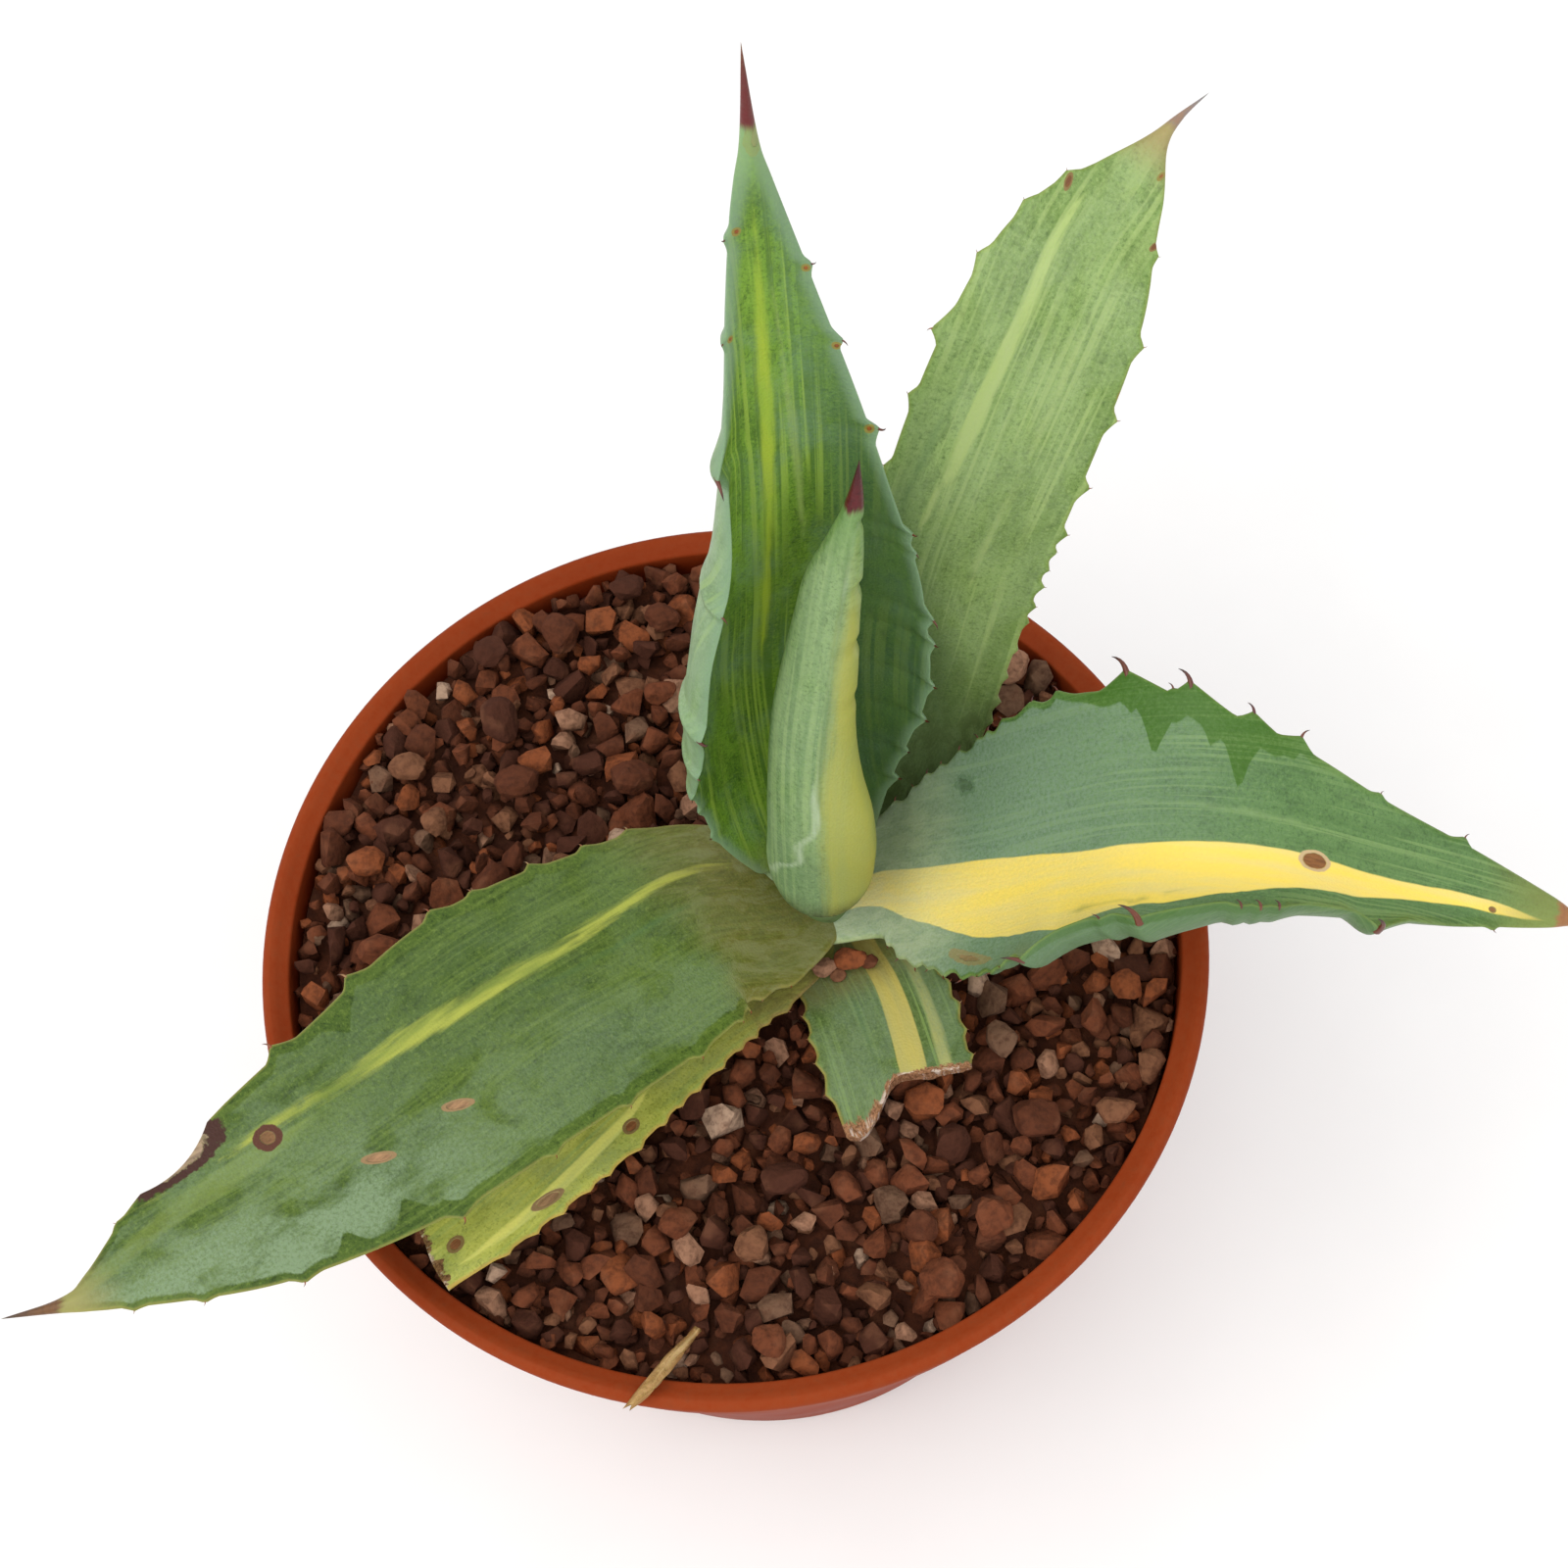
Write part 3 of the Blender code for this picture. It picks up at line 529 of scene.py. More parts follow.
def combine(tree, x=0.0, y=0.0, z=0.0):
    return put(tree, "ShaderNodeCombineXYZ", {0: x, 1: y, 2: z}).outputs[0]


def split(tree, vector):
    return put(tree, "ShaderNodeSeparateXYZ", {0: vector}).outputs


def pieceValue(tree, label):  # a value stored on the piece's points
    return put(tree, "ShaderNodeAttribute", attribute_name=label).outputs["Fac"]


def objectPlace(tree):
    return put(tree, "ShaderNodeTexCoord").outputs["Object"]


floatSocket, vectorSocket, colourSocket = "NodeSocketFloat", "NodeSocketVector", "NodeSocketColor"


def addInputs(tree, inputs):  # each is a kind of socket, or the number that a float starts with
    for label, value in inputs.items():
        kind = value if isinstance(value, str) else floatSocket
        socket = tree.interface.new_socket(label, in_out="INPUT", socket_type=kind)
        if kind != value:
            socket.default_value = value


def newGroup(name, inputs, outputs):
    group = bpy.data.node_groups.new(name, "ShaderNodeTree")
    addInputs(group, inputs)
    for label in outputs:
        kind = colourSocket if label == "Color" else floatSocket
        group.interface.new_socket(label, in_out="OUTPUT", socket_type=kind)
    return group, group.nodes.new("NodeGroupInput").outputs, group.nodes.new("NodeGroupOutput").inputs


def useGroup(tree, group, **values):  # a group's outputs; each input is named without its spaces
    node = tree.nodes.new("ShaderNodeGroup")
    node.node_tree = group
    for socket in node.inputs:
        value = values.pop(socket.name.replace(" ", ""), None)
        if isinstance(value, bpy.types.NodeSocket):
            tree.links.new(value, socket)
        elif value is not None:
            socket.default_value = value
    assert not values, values
    return node.outputs


def shifted(group, given):  # the group's Vector moved by its Seed, so that no two leaves share a pattern
    seed = combine(group, given["Seed"], given["Seed"])
    return put(group, "ShaderNodeVectorMath", {0: given["Vector"], 1: seed}, operation="ADD").outputs[0]


def newMaterial(name, roughness=0.5, **shaderValues):
    material = bpy.data.materials.new(name)
    material.use_nodes = True
    shader = material.node_tree.nodes["Principled BSDF"]
    shader.inputs["Roughness"].default_value = roughness
    for label, value in shaderValues.items():
        shader.inputs[label.replace("_", " ")].default_value = value
    return material, material.node_tree, shader


def dress(tree, shader, skin, height, strength, distance):  # colour and relief on the shader
    relief = put(tree, "ShaderNodeBump", {"Strength": strength, "Distance": distance, "Height": height})
    tree.links.new(skin, shader.inputs["Base Color"])
    tree.links.new(relief.outputs[0], shader.inputs["Normal"])


def colour(red, green, blue):
    return (red, green, blue, 1.0)


def makeFineStreaks():  # thin pale lines that run along the leaf and fade in and out
    group, given, out = newGroup(
        "fineStreaks",
        {"Vector": vectorSocket, "Fineness": 110.0, "Length": 3.0, "Sparseness": 0.56, "Seed": 0.0},
        ("Mask",),
    )
    scale = combine(group, given["Fineness"], given["Length"], 1.0)
    seed = combine(group, given["Seed"], given["Seed"])
    values = {0: given["Vector"], 1: scale, 2: seed}
    placed = put(group, "ShaderNodeVectorMath", values, operation="MULTIPLY_ADD").outputs[0]
    lines = clouds(group, placed, 1.0, 2.0, 0.5)
    streak = fit(group, lines, given["Sparseness"], plus(group, given["Sparseness"], 0.10))
    patch = fit(group, fibres(group, given["Vector"], (18, 5, 1), 1.0), 0.30, 0.60)
    group.links.new(product(group, streak, patch), out["Mask"])
    return group


def makeLeafSkin():  # the leaf's green: slow mottling, spots and grains, then dark and pale lines along it
    group, given, out = newGroup(
        "leafSkin",
        {"Vector": vectorSocket, "Deep": colourSocket, "Mid": colourSocket, "Streak Tone": colourSocket,
         "Streaks": 0.5, "Dark Streaks": 0.4, "Fineness": 150.0, "Length": 2.2, "Mottle": 0.4, "Seed": 0.0},
        ("Color", "Slow", "Spots", "Grain"),
    )
    moved = shifted(group, given)
    slow = fibres(group, moved, (9, 4, 1), 4.0)
    spots = fibres(group, moved, (58, 26, 1), 5.0, 0.72, 0.6)
    speckle = clouds(group, moved, 150.0, 4.0, 0.72)
    grain = clouds(group, moved, 300.0, 3.0, 0.75)
    mottle = given["Mottle"]
    shade = colour(0.50, 0.56, 0.46)
    skin = blend(group, fit(group, slow, 0.36, 0.66), given["Deep"], given["Mid"])
    skin = blend(group, product(group, fit(group, grain, 0.35, 0.75), 0.5), skin, given["Mid"])
    skin = blend(group, product(group, fit(group, grain, 0.30, 0.55, 1.0, 0.0), 0.5), skin, given["Deep"])
    skin = blend(group, product(group, fit(group, spots, 0.34, 0.50, 1.0, 0.0), mottle), skin, shade,
                 "MULTIPLY")
    skin = blend(group, product(group, fit(group, spots, 0.52, 0.68), mottle), skin, given["Mid"])
    skin = blend(group, product(group, fit(group, speckle, 0.36, 0.48, 1.0, 0.0), mottle), skin, shade,
                 "MULTIPLY")
    skin = blend(group, product(group, fit(group, speckle, 0.53, 0.68), mottle, 0.5), skin,
                 given["Streak Tone"])
    shared = dict(Vector=given["Vector"], Length=given["Length"], Sparseness=0.5)
    finer = product(group, given["Fineness"], 0.8)
    lines = useGroup(group, fineStreaks, Fineness=finer, Seed=plus(group, given["Seed"], 4.7),
                     **shared)["Mask"]
    skin = blend(group, product(group, lines, given["Dark Streaks"]), skin, given["Deep"])
    pale = useGroup(group, fineStreaks, Fineness=given["Fineness"], Seed=given["Seed"], **shared)["Mask"]
    skin = blend(group, product(group, pale, given["Streaks"]), skin, given["Streak Tone"])
    for label, value in (("Color", skin), ("Slow", slow), ("Spots", spots), ("Grain", grain)):
        group.links.new(value, out[label])
    return group


def makeStripeLayer():  # a stripe from its distance field, with a wandering, slightly feathered edge
    group, given, out = newGroup(
        "stripeLayer",
        {"Color": colourSocket, "Vector": vectorSocket, "Field": 0.0, "Wander": 0.3, "Softness": 0.15,
         "Tone": colourSocket, "Pale Tone": colourSocket, "Strength": 1.0, "Seed": 0.0},
        ("Color", "Mask"),
    )
    moved = shifted(group, given)
    slow = fibres(group, moved, (60, 9, 1), 3.0)
    feather = fibres(group, moved, (260, 16, 1), 2.0)
    wander = swing(group, slow, given["Wander"], 3.0)
    fine = swing(group, feather, given["Wander"], 1.6)
    field = plus(group, given["Field"], plus(group, wander, fine))
    mask = fit(group, field, product(group, given["Softness"], -1.0), given["Softness"])
    shade = fit(group, fibres(group, given["Vector"], (50, 6, 1), 3.0), 0.35, 0.7)
    tone = blend(group, shade, given["Tone"], given["Pale Tone"])
    group.links.new(blend(group, product(group, mask, given["Strength"]), given["Color"], tone), out["Color"])
    group.links.new(mask, out["Mask"])
    return group


def makeWaxLayer():  # blue-grey wax in worn patches, and the vivid skin where it has been rubbed off
    group, given, out = newGroup(
        "waxLayer",
        {"Color": colourSocket, "Vector": vectorSocket, "Field": 1.0, "Cover": 0.5, "Strength": 0.5,
         "Tone": colourSocket, "Bare Strength": 0.0, "Bare Tone": colourSocket, "Seed": 0.0},
        ("Color", "Mask"),
    )
    moved = shifted(group, given)
    patches = fibres(group, moved, (16, 9, 1), 5.0, 0.62, 0.4)
    low = minus(group, 0.78, given["Cover"])
    patch = fit(group, patches, low, plus(group, low, 0.26))
    grain = clouds(group, moved, 230.0, 4.0, 0.75)
    edge = fit(group, plus(group, given["Field"], product(group, grain, 0.4)), 0.15, 0.55)
    worn = fit(group, grain, 0.35, 0.62, 0.6, 1.0)
    bare = product(group, minus(group, 1.0, edge), worn, given["Bare Strength"])
    skin = blend(group, bare, given["Color"], given["Bare Tone"])
    mask = product(group, patch, edge, fit(group, grain, 0.32, 0.66, 0.45, 1.05), given["Strength"])
    group.links.new(blend(group, mask, skin, given["Tone"]), out["Color"])
    group.links.new(mask, out["Mask"])
    return group


def makePaintedShadeLayer():  # painted shade: a soft-edged area darkened to another tone, such as the shade low on a leaf
    group, given, out = newGroup(
        "paintedShadeLayer",
        {"Color": colourSocket, "Field": 0.0, "Slow": 0.5, "Strength": 0.5, "Tone": colourSocket},
        ("Color",),
    )
    uneven = swing(group, given["Slow"], 6.0)
    mask = fit(group, plus(group, given["Field"], uneven), -2.5, 3.5)
    group.links.new(blend(group, product(group, mask, given["Strength"]), given["Color"], given["Tone"]),
                    out["Color"])
    return group


def makeEdgeTones():  # the underside's tone, the coloured margin line, and the base near the heart: a stain on some leaves, painted shade on the spear and the back leaf, and painted light on the right leaf
    group, given, out = newGroup(
        "edgeTones",
        {"Color": colourSocket, "Underside": 0.0, "Margin": 5.0, "Place": 50.0, "Slow": 0.5, "Spots": 0.5,
         "Grain": 0.5, "Under Tone": colourSocket, "Under Strength": 0.7, "Margin Tone": colourSocket,
         "Margin Strength": 0.6, "Margin Width": 0.35, "Base Tone": colourSocket, "Base Strength": 0.4,
         "Base Length": 8.0, "Stain Tone": colourSocket, "Stain Strength": 0.0},
        ("Color",),
    )
    under = product(group, fit(group, given["Underside"], 0.35, 0.65), given["Under Strength"])
    worn = product(group, fit(group, given["Grain"], 0.3, 0.7, 0.75, 1.0),
                   fit(group, given["Spots"], 0.36, 0.60, 0.7, 1.0))
    under = product(group, under, worn)
    skin = blend(group, under, given["Color"], given["Under Tone"])
    uneven = swing(group, given["Grain"], 0.5)
    line = fit(group, plus(group, given["Margin"], uneven), 0.05, given["Margin Width"], 1.0, 0.0)
    skin = blend(group, product(group, line, given["Margin Strength"]), skin, given["Margin Tone"])
    uneven = swing(group, given["Slow"], given["Base Length"])
    place = plus(group, given["Place"], uneven)
    low = fit(group, place, product(group, given["Base Length"], 0.2), given["Base Length"], 1.0, 0.0)
    patchy = fit(group, given["Spots"], 0.38, 0.60, 0.6, 1.0)
    skin = blend(group, product(group, low, patchy, given["Base Strength"]), skin, given["Base Tone"])
    stain = fit(group, plus(group, given["Spots"], product(group, given["Slow"], 0.5)), 0.70, 0.86)
    skin = blend(group, product(group, low, stain, given["Stain Strength"]), skin, given["Stain Tone"])
    group.links.new(skin, out["Color"])
    return group


def makeScarLayer():  # an oval scar at a place on the leaf, in mm across and along, sunk a little
    group, given, out = newGroup(
        "scarLayer",
        {"Color": colourSocket, "Height": 0.0, "Vector": vectorSocket, "Across": 0.0, "Along": 0.0,
         "Half Length": 2.0, "Half Width": 1.0, "Turn": 0.0, "Rim": 0.25, "Raggedness": 0.15,
         "Strength": 1.0, "Inner Tone": colourSocket, "Outer Tone": colourSocket},
        ("Color", "Height"),
    )
    parts = split(group, given["Vector"])
    across = swing(group, parts[0], 100.0)
    x = minus(group, across, given["Across"])
    y = minus(group, product(group, parts[1], 100.0), given["Along"])
    flat = combine(group, x, y)
    values = {"Vector": flat, "Angle": given["Turn"]}
    turned = put(group, "ShaderNodeVectorRotate", values, rotation_type="Z_AXIS").outputs[0]
    size = combine(group, given["Half Width"], given["Half Length"], 1.0)
    scaled = put(group, "ShaderNodeVectorMath", {0: turned, 1: size}, operation="DIVIDE").outputs[0]
    far = put(group, "ShaderNodeVectorMath", {0: scaled}, operation="LENGTH").outputs["Value"]
    ragged = minus(group, clouds(group, given["Vector"], 90.0, 3.0), 0.5)
    far = plus(group, far, product(group, ragged, given["Raggedness"]))
    inner = minus(group, 1.0, given["Rim"])
    core = fit(group, far, minus(group, inner, 0.12), inner, 1.0, 0.0)
    rim = minus(group, fit(group, far, 0.96, 1.06, 1.0, 0.0), core, True)
    fibre = fibres(group, given["Vector"], (220, 40, 1), 3.0)
    worn = blend(group, fit(group, fibre, 0.3, 0.7), given["Inner Tone"], colour(0.55, 0.55, 0.55),
                 "MULTIPLY")
    skin = blend(group, product(group, rim, given["Strength"]), given["Color"], given["Outer Tone"])
    core = product(group, core, given["Strength"])
    group.links.new(blend(group, core, skin, worn), out["Color"])
    group.links.new(minus(group, given["Height"], product(group, core, 1.2)), out["Height"])
    return group


def makeTornEdge():  # the dry, ragged strip along a torn end
    group, given, out = newGroup(
        "tornEdge",
        {"Color": colourSocket, "Roughness": 0.5, "Tip": 50.0, "Spots": 0.5, "Grain": 0.5,
         "Tone": colourSocket, "Pale Tone": colourSocket, "Length": 1.0},
        ("Color", "Roughness"),
    )
    ragged = swing(group, given["Spots"], 5.0)
    toTip = plus(group, given["Tip"], ragged)
    mask = fit(group, toTip, product(group, given["Length"], 0.65), given["Length"], 1.0, 0.0)
    worn = blend(group, fit(group, given["Grain"], 0.35, 0.65), given["Tone"], colour(0.35, 0.30, 0.25),
                 "MULTIPLY")
    torn = blend(group, fit(group, given["Spots"], 0.50, 0.60), worn, given["Pale Tone"])
    group.links.new(blend(group, mask, given["Color"], torn), out["Color"])
    group.links.new(blendFloat(group, mask, given["Roughness"], 0.85), out["Roughness"])
    return group


def makeHornTip():  # the coloured end of the leaf and its horny spine
    group, given, out = newGroup(
        "hornTip",
        {"Color": colourSocket, "Roughness": 0.5, "Vector": vectorSocket, "Tip": 50.0,
         "Tip Tone": colourSocket, "Tip Strength": 0.4, "Tip Length": 10.0, "Spine Tone": colourSocket,
         "Spine Tip Tone": colourSocket, "Spine Length": 8.0},
        ("Color", "Roughness"),
    )
    slow = fibres(group, given["Vector"], (120, 12, 1))
    wavering = plus(group, given["Tip"], swing(group, slow, 3.0))
    length = given["Spine Length"]
    far = plus(group, length, given["Tip Length"])
    tipMask = fit(group, wavering, plus(group, length, 0.5), far, 1.0, 0.0)
    skin = blend(group, product(group, tipMask, given["Tip Strength"]), given["Color"], given["Tip Tone"])
    low = minus(group, length, 0.7)
    horn = fit(group, wavering, low, plus(group, length, 0.4), 1.0, 0.0)
    shade = fit(group, given["Tip"], 0.5, product(group, length, 0.75))
    tone = blend(group, shade, given["Spine Tip Tone"], given["Spine Tone"])
    tone = blend(group, fit(group, clouds(group, given["Vector"], 160.0, 3.0), 0.45, 0.7, 0.0, 0.6), tone,
                 given["Spine Tip Tone"])
    group.links.new(blend(group, horn, skin, tone), out["Color"])
    group.links.new(blendFloat(group, horn, given["Roughness"], 0.34), out["Roughness"])
    return group


def makeSkinRelief():  # height of the leaf's skin: fine lengthwise lines, pores and slow ripples
    group, given, out = newGroup(
        "skinRelief",
        {"Vector": vectorSocket, "Lines": 0.5, "Grain": 0.5},
        ("Height",),
    )
    lines = fibres(group, given["Vector"], (190, 4, 1), 3.0)
    pores = cells(group, given["Vector"], 330.0)
    slow = fibres(group, given["Vector"], (24, 10, 1), 2.0)
    height = plus(group, product(group, lines, given["Lines"]), product(group, pores, given["Grain"]))
    group.links.new(plus(group, height, product(group, slow, 0.8)), out["Height"])
    return group


def makeLavaSkin():  # worn, dusty, pitted lava over a base colour
    group, given, out = newGroup(
        "lavaSkin",
        {"Color": colourSocket, "Vector": vectorSocket, "Dark Tone": colourSocket, "Dust Tone": colourSocket,
         "Wear": 0.6, "Dust": 0.35},
        ("Color", "Height"),
    )
    mottle = clouds(group, given["Vector"], 900.0, 4.0, 0.65)
    patches = clouds(group, given["Vector"], 260.0, 2.0)
    worn = product(group, fit(group, mottle, 0.30, 0.60, 1.0, 0.0), given["Wear"])
    skin = blend(group, worn, given["Color"], given["Dark Tone"])
    dusty = product(group, fit(group, patches, 0.52, 0.75), given["Dust"])
    group.links.new(blend(group, dusty, skin, given["Dust Tone"]), out["Color"])
    pits = cells(group, given["Vector"], 1300.0)
    group.links.new(plus(group, product(group, pits, 0.7), mottle), out["Height"])
    return group


fineStreaks = makeFineStreaks()
leafSkin = makeLeafSkin()
stripeLayer = makeStripeLayer()
waxLayer = makeWaxLayer()
paintedShadeLayer = makePaintedShadeLayer()
edgeTones = makeEdgeTones()
scarLayer = makeScarLayer()
tornEdge = makeTornEdge()
hornTip = makeHornTip()
skinRelief = makeSkinRelief()
lavaSkin = makeLavaSkin()
print("shader groups ready")


# What a user would change about each leaf's skin. Colours are linear red, green, blue.
leafLook = dict(
    deep=colour(0.07, 0.155, 0.035), mid=colour(0.14, 0.25, 0.075), streaks=0.5,
    streakTone=colour(0.25, 0.37, 0.10), darkStreaks=0.45, fineness=150.0, streakLength=2.2,
    mottle=0.45, stripe=colour(0.40, 0.46, 0.10), stripePale=colour(0.45, 0.50, 0.16),
    stripeWander=0.25, stripeSoft=0.2, thinTone=colour(0.28, 0.38, 0.10), thinStrength=0.6,
    markTone=colour(0.08, 0.17, 0.06), markStrength=0.4, wax=colour(0.20, 0.29, 0.20), waxCover=0.45,
    waxStrength=0.5, waxFade=(200, 201, 1.0), waxSides=(1.0, 1.0), bareTone=colour(0.07, 0.17, 0.02),
    bareStrength=0.0, bareSpan=(0, 200), underTone=colour(0.17, 0.26, 0.12), underStrength=0.7,
    margin=colour(0.22, 0.25, 0.06), marginStrength=0.6, marginWidth=0.35,
    base=colour(0.20, 0.22, 0.07), baseStrength=0.4, baseLength=8.0, stain=colour(0.16, 0.07, 0.02),
    stainStrength=0.0, tip=colour(0.40, 0.30, 0.08), tipLength=10.0, tipStrength=0.4,
    spine=colour(0.10, 0.014, 0.016), spineLength=8.0, spineTip=colour(0.05, 0.010, 0.012), scars=(),
    dry=colour(0.42, 0.25, 0.13), dryPale=colour(0.55, 0.42, 0.32), dryLength=0.0,
    # The painted shade tone and strength darken the area of a leaf's shaded field.
    toothTone=(0.3, 0.55), thorn=0.55, duskTone=colour(0.05, 0.105, 0.045), duskStrength=0.65,
)
spearLeaf["look"] = dict(
    leafLook, deep=colour(0.088, 0.185, 0.062), mid=colour(0.215, 0.33, 0.122), mottle=0.75,
    streakTone=colour(0.34, 0.46, 0.18), streaks=0.35, stripe=colour(0.38, 0.385, 0.078),
    stripePale=colour(0.34, 0.37, 0.095), stripeWander=0.6, stripeSoft=1.1,
    thinTone=colour(0.09, 0.17, 0.05), thinStrength=0.8, markTone=colour(0.44, 0.54, 0.36),
    markStrength=0.75, wax=colour(0.28, 0.38, 0.21), waxCover=0.52, waxStrength=0.42, spineLength=6.6,
    # The spear's dark base tone is painted shade: the crevice where it rises out of the heart.
    base=colour(0.045, 0.045, 0.015), baseStrength=0.95, baseLength=6.2, marginStrength=0.0,
    underStrength=0.0, tip=colour(0.14, 0.26, 0.07), tipStrength=0.6,
)
innerLeaf["look"] = dict(
    leafLook, deep=colour(0.070, 0.155, 0.018), mid=colour(0.165, 0.315, 0.026),
    stripe=colour(0.32, 0.43, 0.030), stripePale=colour(0.26, 0.40, 0.035), stripeWander=0.4,
    stripeSoft=0.5, streaks=0.8, streakTone=colour(0.27, 0.41, 0.05), darkStreaks=0.8, fineness=125.0,
    streakLength=1.3, markTone=colour(0.05, 0.10, 0.035), markStrength=0.6,
    wax=colour(0.15, 0.26, 0.16), waxCover=0.34, underTone=colour(0.25, 0.36, 0.215),
    underStrength=0.85, margin=colour(0.19, 0.30, 0.18), marginStrength=0.8, marginWidth=1.8,
    spineLength=9.0, spine=colour(0.13, 0.02, 0.02), spineTip=colour(0.13, 0.035, 0.03),
    tip=colour(0.22, 0.36, 0.14), tipStrength=0.7, toothTone=(0.8, 1.0), thorn=0.8,
    scars=(
        ("rust", -2.3, 103.5, 0.5, 0.5, 0.0), ("rust", 4.4, 97.0, 0.5, 0.45, 0.0),
        ("rust", 7.0, 86.4, 0.5, 0.5, 0.0), ("rust", -4.6, 91.0, 0.45, 0.4, 0.0),
        ("rust", 10.2, 74.2, 0.8, 0.5, 0.2), ("rust", 0.5, 113.6, 2.2, 1.1, 0.2),
    ),
    # Painted shade tone and strength for the hollow's lower part and right side.
    duskStrength=0.62, duskTone=colour(0.055, 0.115, 0.062), mottle=0.7,
)
backLeaf["look"] = dict(
    # Painted shade: the strength of the leaf's shaded area, and the dark base tone over its lowest 44 mm,
    # both darkening the part in the heart.
    leafLook, deep=colour(0.14, 0.235, 0.052), mid=colour(0.265, 0.385, 0.125),
    stripe=colour(0.37, 0.47, 0.18), duskStrength=0.45, stripePale=colour(0.36, 0.47, 0.15),
    stripeWander=0.4, stripeSoft=0.3, streaks=0.55, streakTone=colour(0.37, 0.48, 0.17), mottle=0.6,
    darkStreaks=0.34, fineness=120.0, streakLength=1.5, thinTone=colour(0.36, 0.46, 0.16),
    wax=colour(0.33, 0.43, 0.23), waxCover=0.46, waxStrength=0.32, base=colour(0.050, 0.080, 0.018),
    baseStrength=0.92, baseLength=44.0, tip=colour(0.36, 0.26, 0.11), tipLength=7.0, tipStrength=0.8,
    spine=colour(0.30, 0.19, 0.13), spineTip=colour(0.22, 0.20, 0.21), spineLength=5.6,
    margin=colour(0.22, 0.26, 0.06), marginStrength=0.5, thorn=0.35, toothTone=(0.2, 0.5),
    scars=(
        ("brown", 5.8, 93.0, 0.7, 0.35, 0.2), ("brown", -5.5, 93.2, 0.9, 0.4, -0.3),
        ("rust", 2.3, 98.9, 0.6, 0.3, 0.2), ("rust", 9.9, 76.0, 0.9, 0.45, 0.0),
    ),
)
rightLeaf["look"] = dict(
    leafLook, deep=colour(0.060, 0.145, 0.026), mid=colour(0.115, 0.225, 0.060),
    stripe=colour(0.96, 0.715, 0.115), mottle=0.6, bareTone=colour(0.042, 0.125, 0.006),
    bareStrength=0.85, bareSpan=(27, 50), stripePale=colour(0.86, 0.68, 0.20), stripeWander=0.16,
    stripeSoft=0.14, streaks=0.55, streakTone=colour(0.22, 0.345, 0.11), darkStreaks=0.35,
    fineness=190.0, streakLength=2.6, thinTone=colour(0.23, 0.35, 0.12), thinStrength=0.5,
    wax=colour(0.200, 0.295, 0.205), waxCover=0.68, waxStrength=0.85, waxFade=(22, 58, 0.14),
    underTone=colour(0.085, 0.155, 0.06), underStrength=0.75, marginStrength=0.35,
    # The pale base tone is partly the stripe's own paler, waxed colour near the heart and partly painted
    # light, lifting the shade that the spear and inner leaf cast there.
    margin=colour(0.20, 0.25, 0.06), base=colour(0.55, 0.60, 0.37), baseStrength=0.45, baseLength=15.0,
    tip=colour(0.26, 0.28, 0.065), tipLength=14.0, tipStrength=0.6, spine=colour(0.33, 0.15, 0.06),
    spineTip=colour(0.25, 0.11, 0.05), spineLength=8.8, toothTone=(0.8, 1.0), thorn=0.72,
    scars=(
        ("oval", 1.8, 56.5, 2.0, 1.35, 0.0), ("smear", 13.2, 15.5, 4.0, 0.9, 0.5),
        ("moss", -10.0, 13.5, 1.6, 1.3, 0.4), ("brown", 1.9, 81.5, 0.6, 0.4, 0.0),
    ),
)
leftLeaf["look"] = dict(
    leafLook, deep=colour(0.046, 0.090, 0.010), mid=colour(0.092, 0.148, 0.018),
    stripe=colour(0.38, 0.41, 0.065), mottle=0.75, stripePale=colour(0.17, 0.23, 0.037),
    stripeWander=0.9, stripeSoft=0.6, streaks=0.22, streakTone=colour(0.19, 0.27, 0.05),
    darkStreaks=0.2, fineness=170.0, thinTone=colour(0.24, 0.31, 0.065), thinStrength=0.36,
    wax=colour(0.20, 0.285, 0.155), waxCover=0.46, waxStrength=0.28, waxFade=(38, 74, 2.9),
    waxSides=(1.65, 0.6), base=colour(0.215, 0.165, 0.036), baseStrength=0.62, baseLength=17.0,
    stain=colour(0.21, 0.26, 0.14), stainStrength=0.32, tip=colour(0.33, 0.30, 0.10), tipLength=7.0,
    tipStrength=0.8, spine=colour(0.16, 0.075, 0.03), spineTip=colour(0.07, 0.04, 0.03),
    spineLength=7.5, margin=colour(0.27, 0.25, 0.055), marginWidth=0.4, toothTone=(0.25, 0.6),
    thorn=0.6,
    scars=(
        ("ring", 5.5, 67.2, 1.7, 1.6, 0.0), ("tan", -4.3, 48.0, 1.9, 0.7, 0.5),
        ("tan", -3.9, 58.4, 2.0, 0.7, 0.45), ("burn", 8.9, 77.6, 6.9, 2.7, -0.12),
    ),
)
underLeaf["look"] = dict(
    # These greens are the leaf's own yellow-green made lighter still: painted light, offsetting the left
    # leaf's shadow over it.
    leafLook, deep=colour(0.34, 0.37, 0.055), mid=colour(0.55, 0.56, 0.115),
    stripe=colour(0.70, 0.68, 0.16), mottle=0.55, wax=colour(0.17, 0.24, 0.12), waxCover=0.36,
    waxStrength=0.4, margin=colour(0.46, 0.26, 0.05), marginStrength=0.7, marginWidth=0.5,
    base=colour(0.12, 0.09, 0.025), baseStrength=0.8, baseLength=18.0, dry=colour(0.25, 0.13, 0.05),
    dryLength=0.8,
    scars=(
        ("brown", -8.3, 29.3, 1.1, 0.9, 0.0), ("tan", -7.9, 42.1, 2.2, 0.8, 0.2),
        ("brown", -4.6, 52.6, 1.0, 0.9, 0.0),
    ),
)
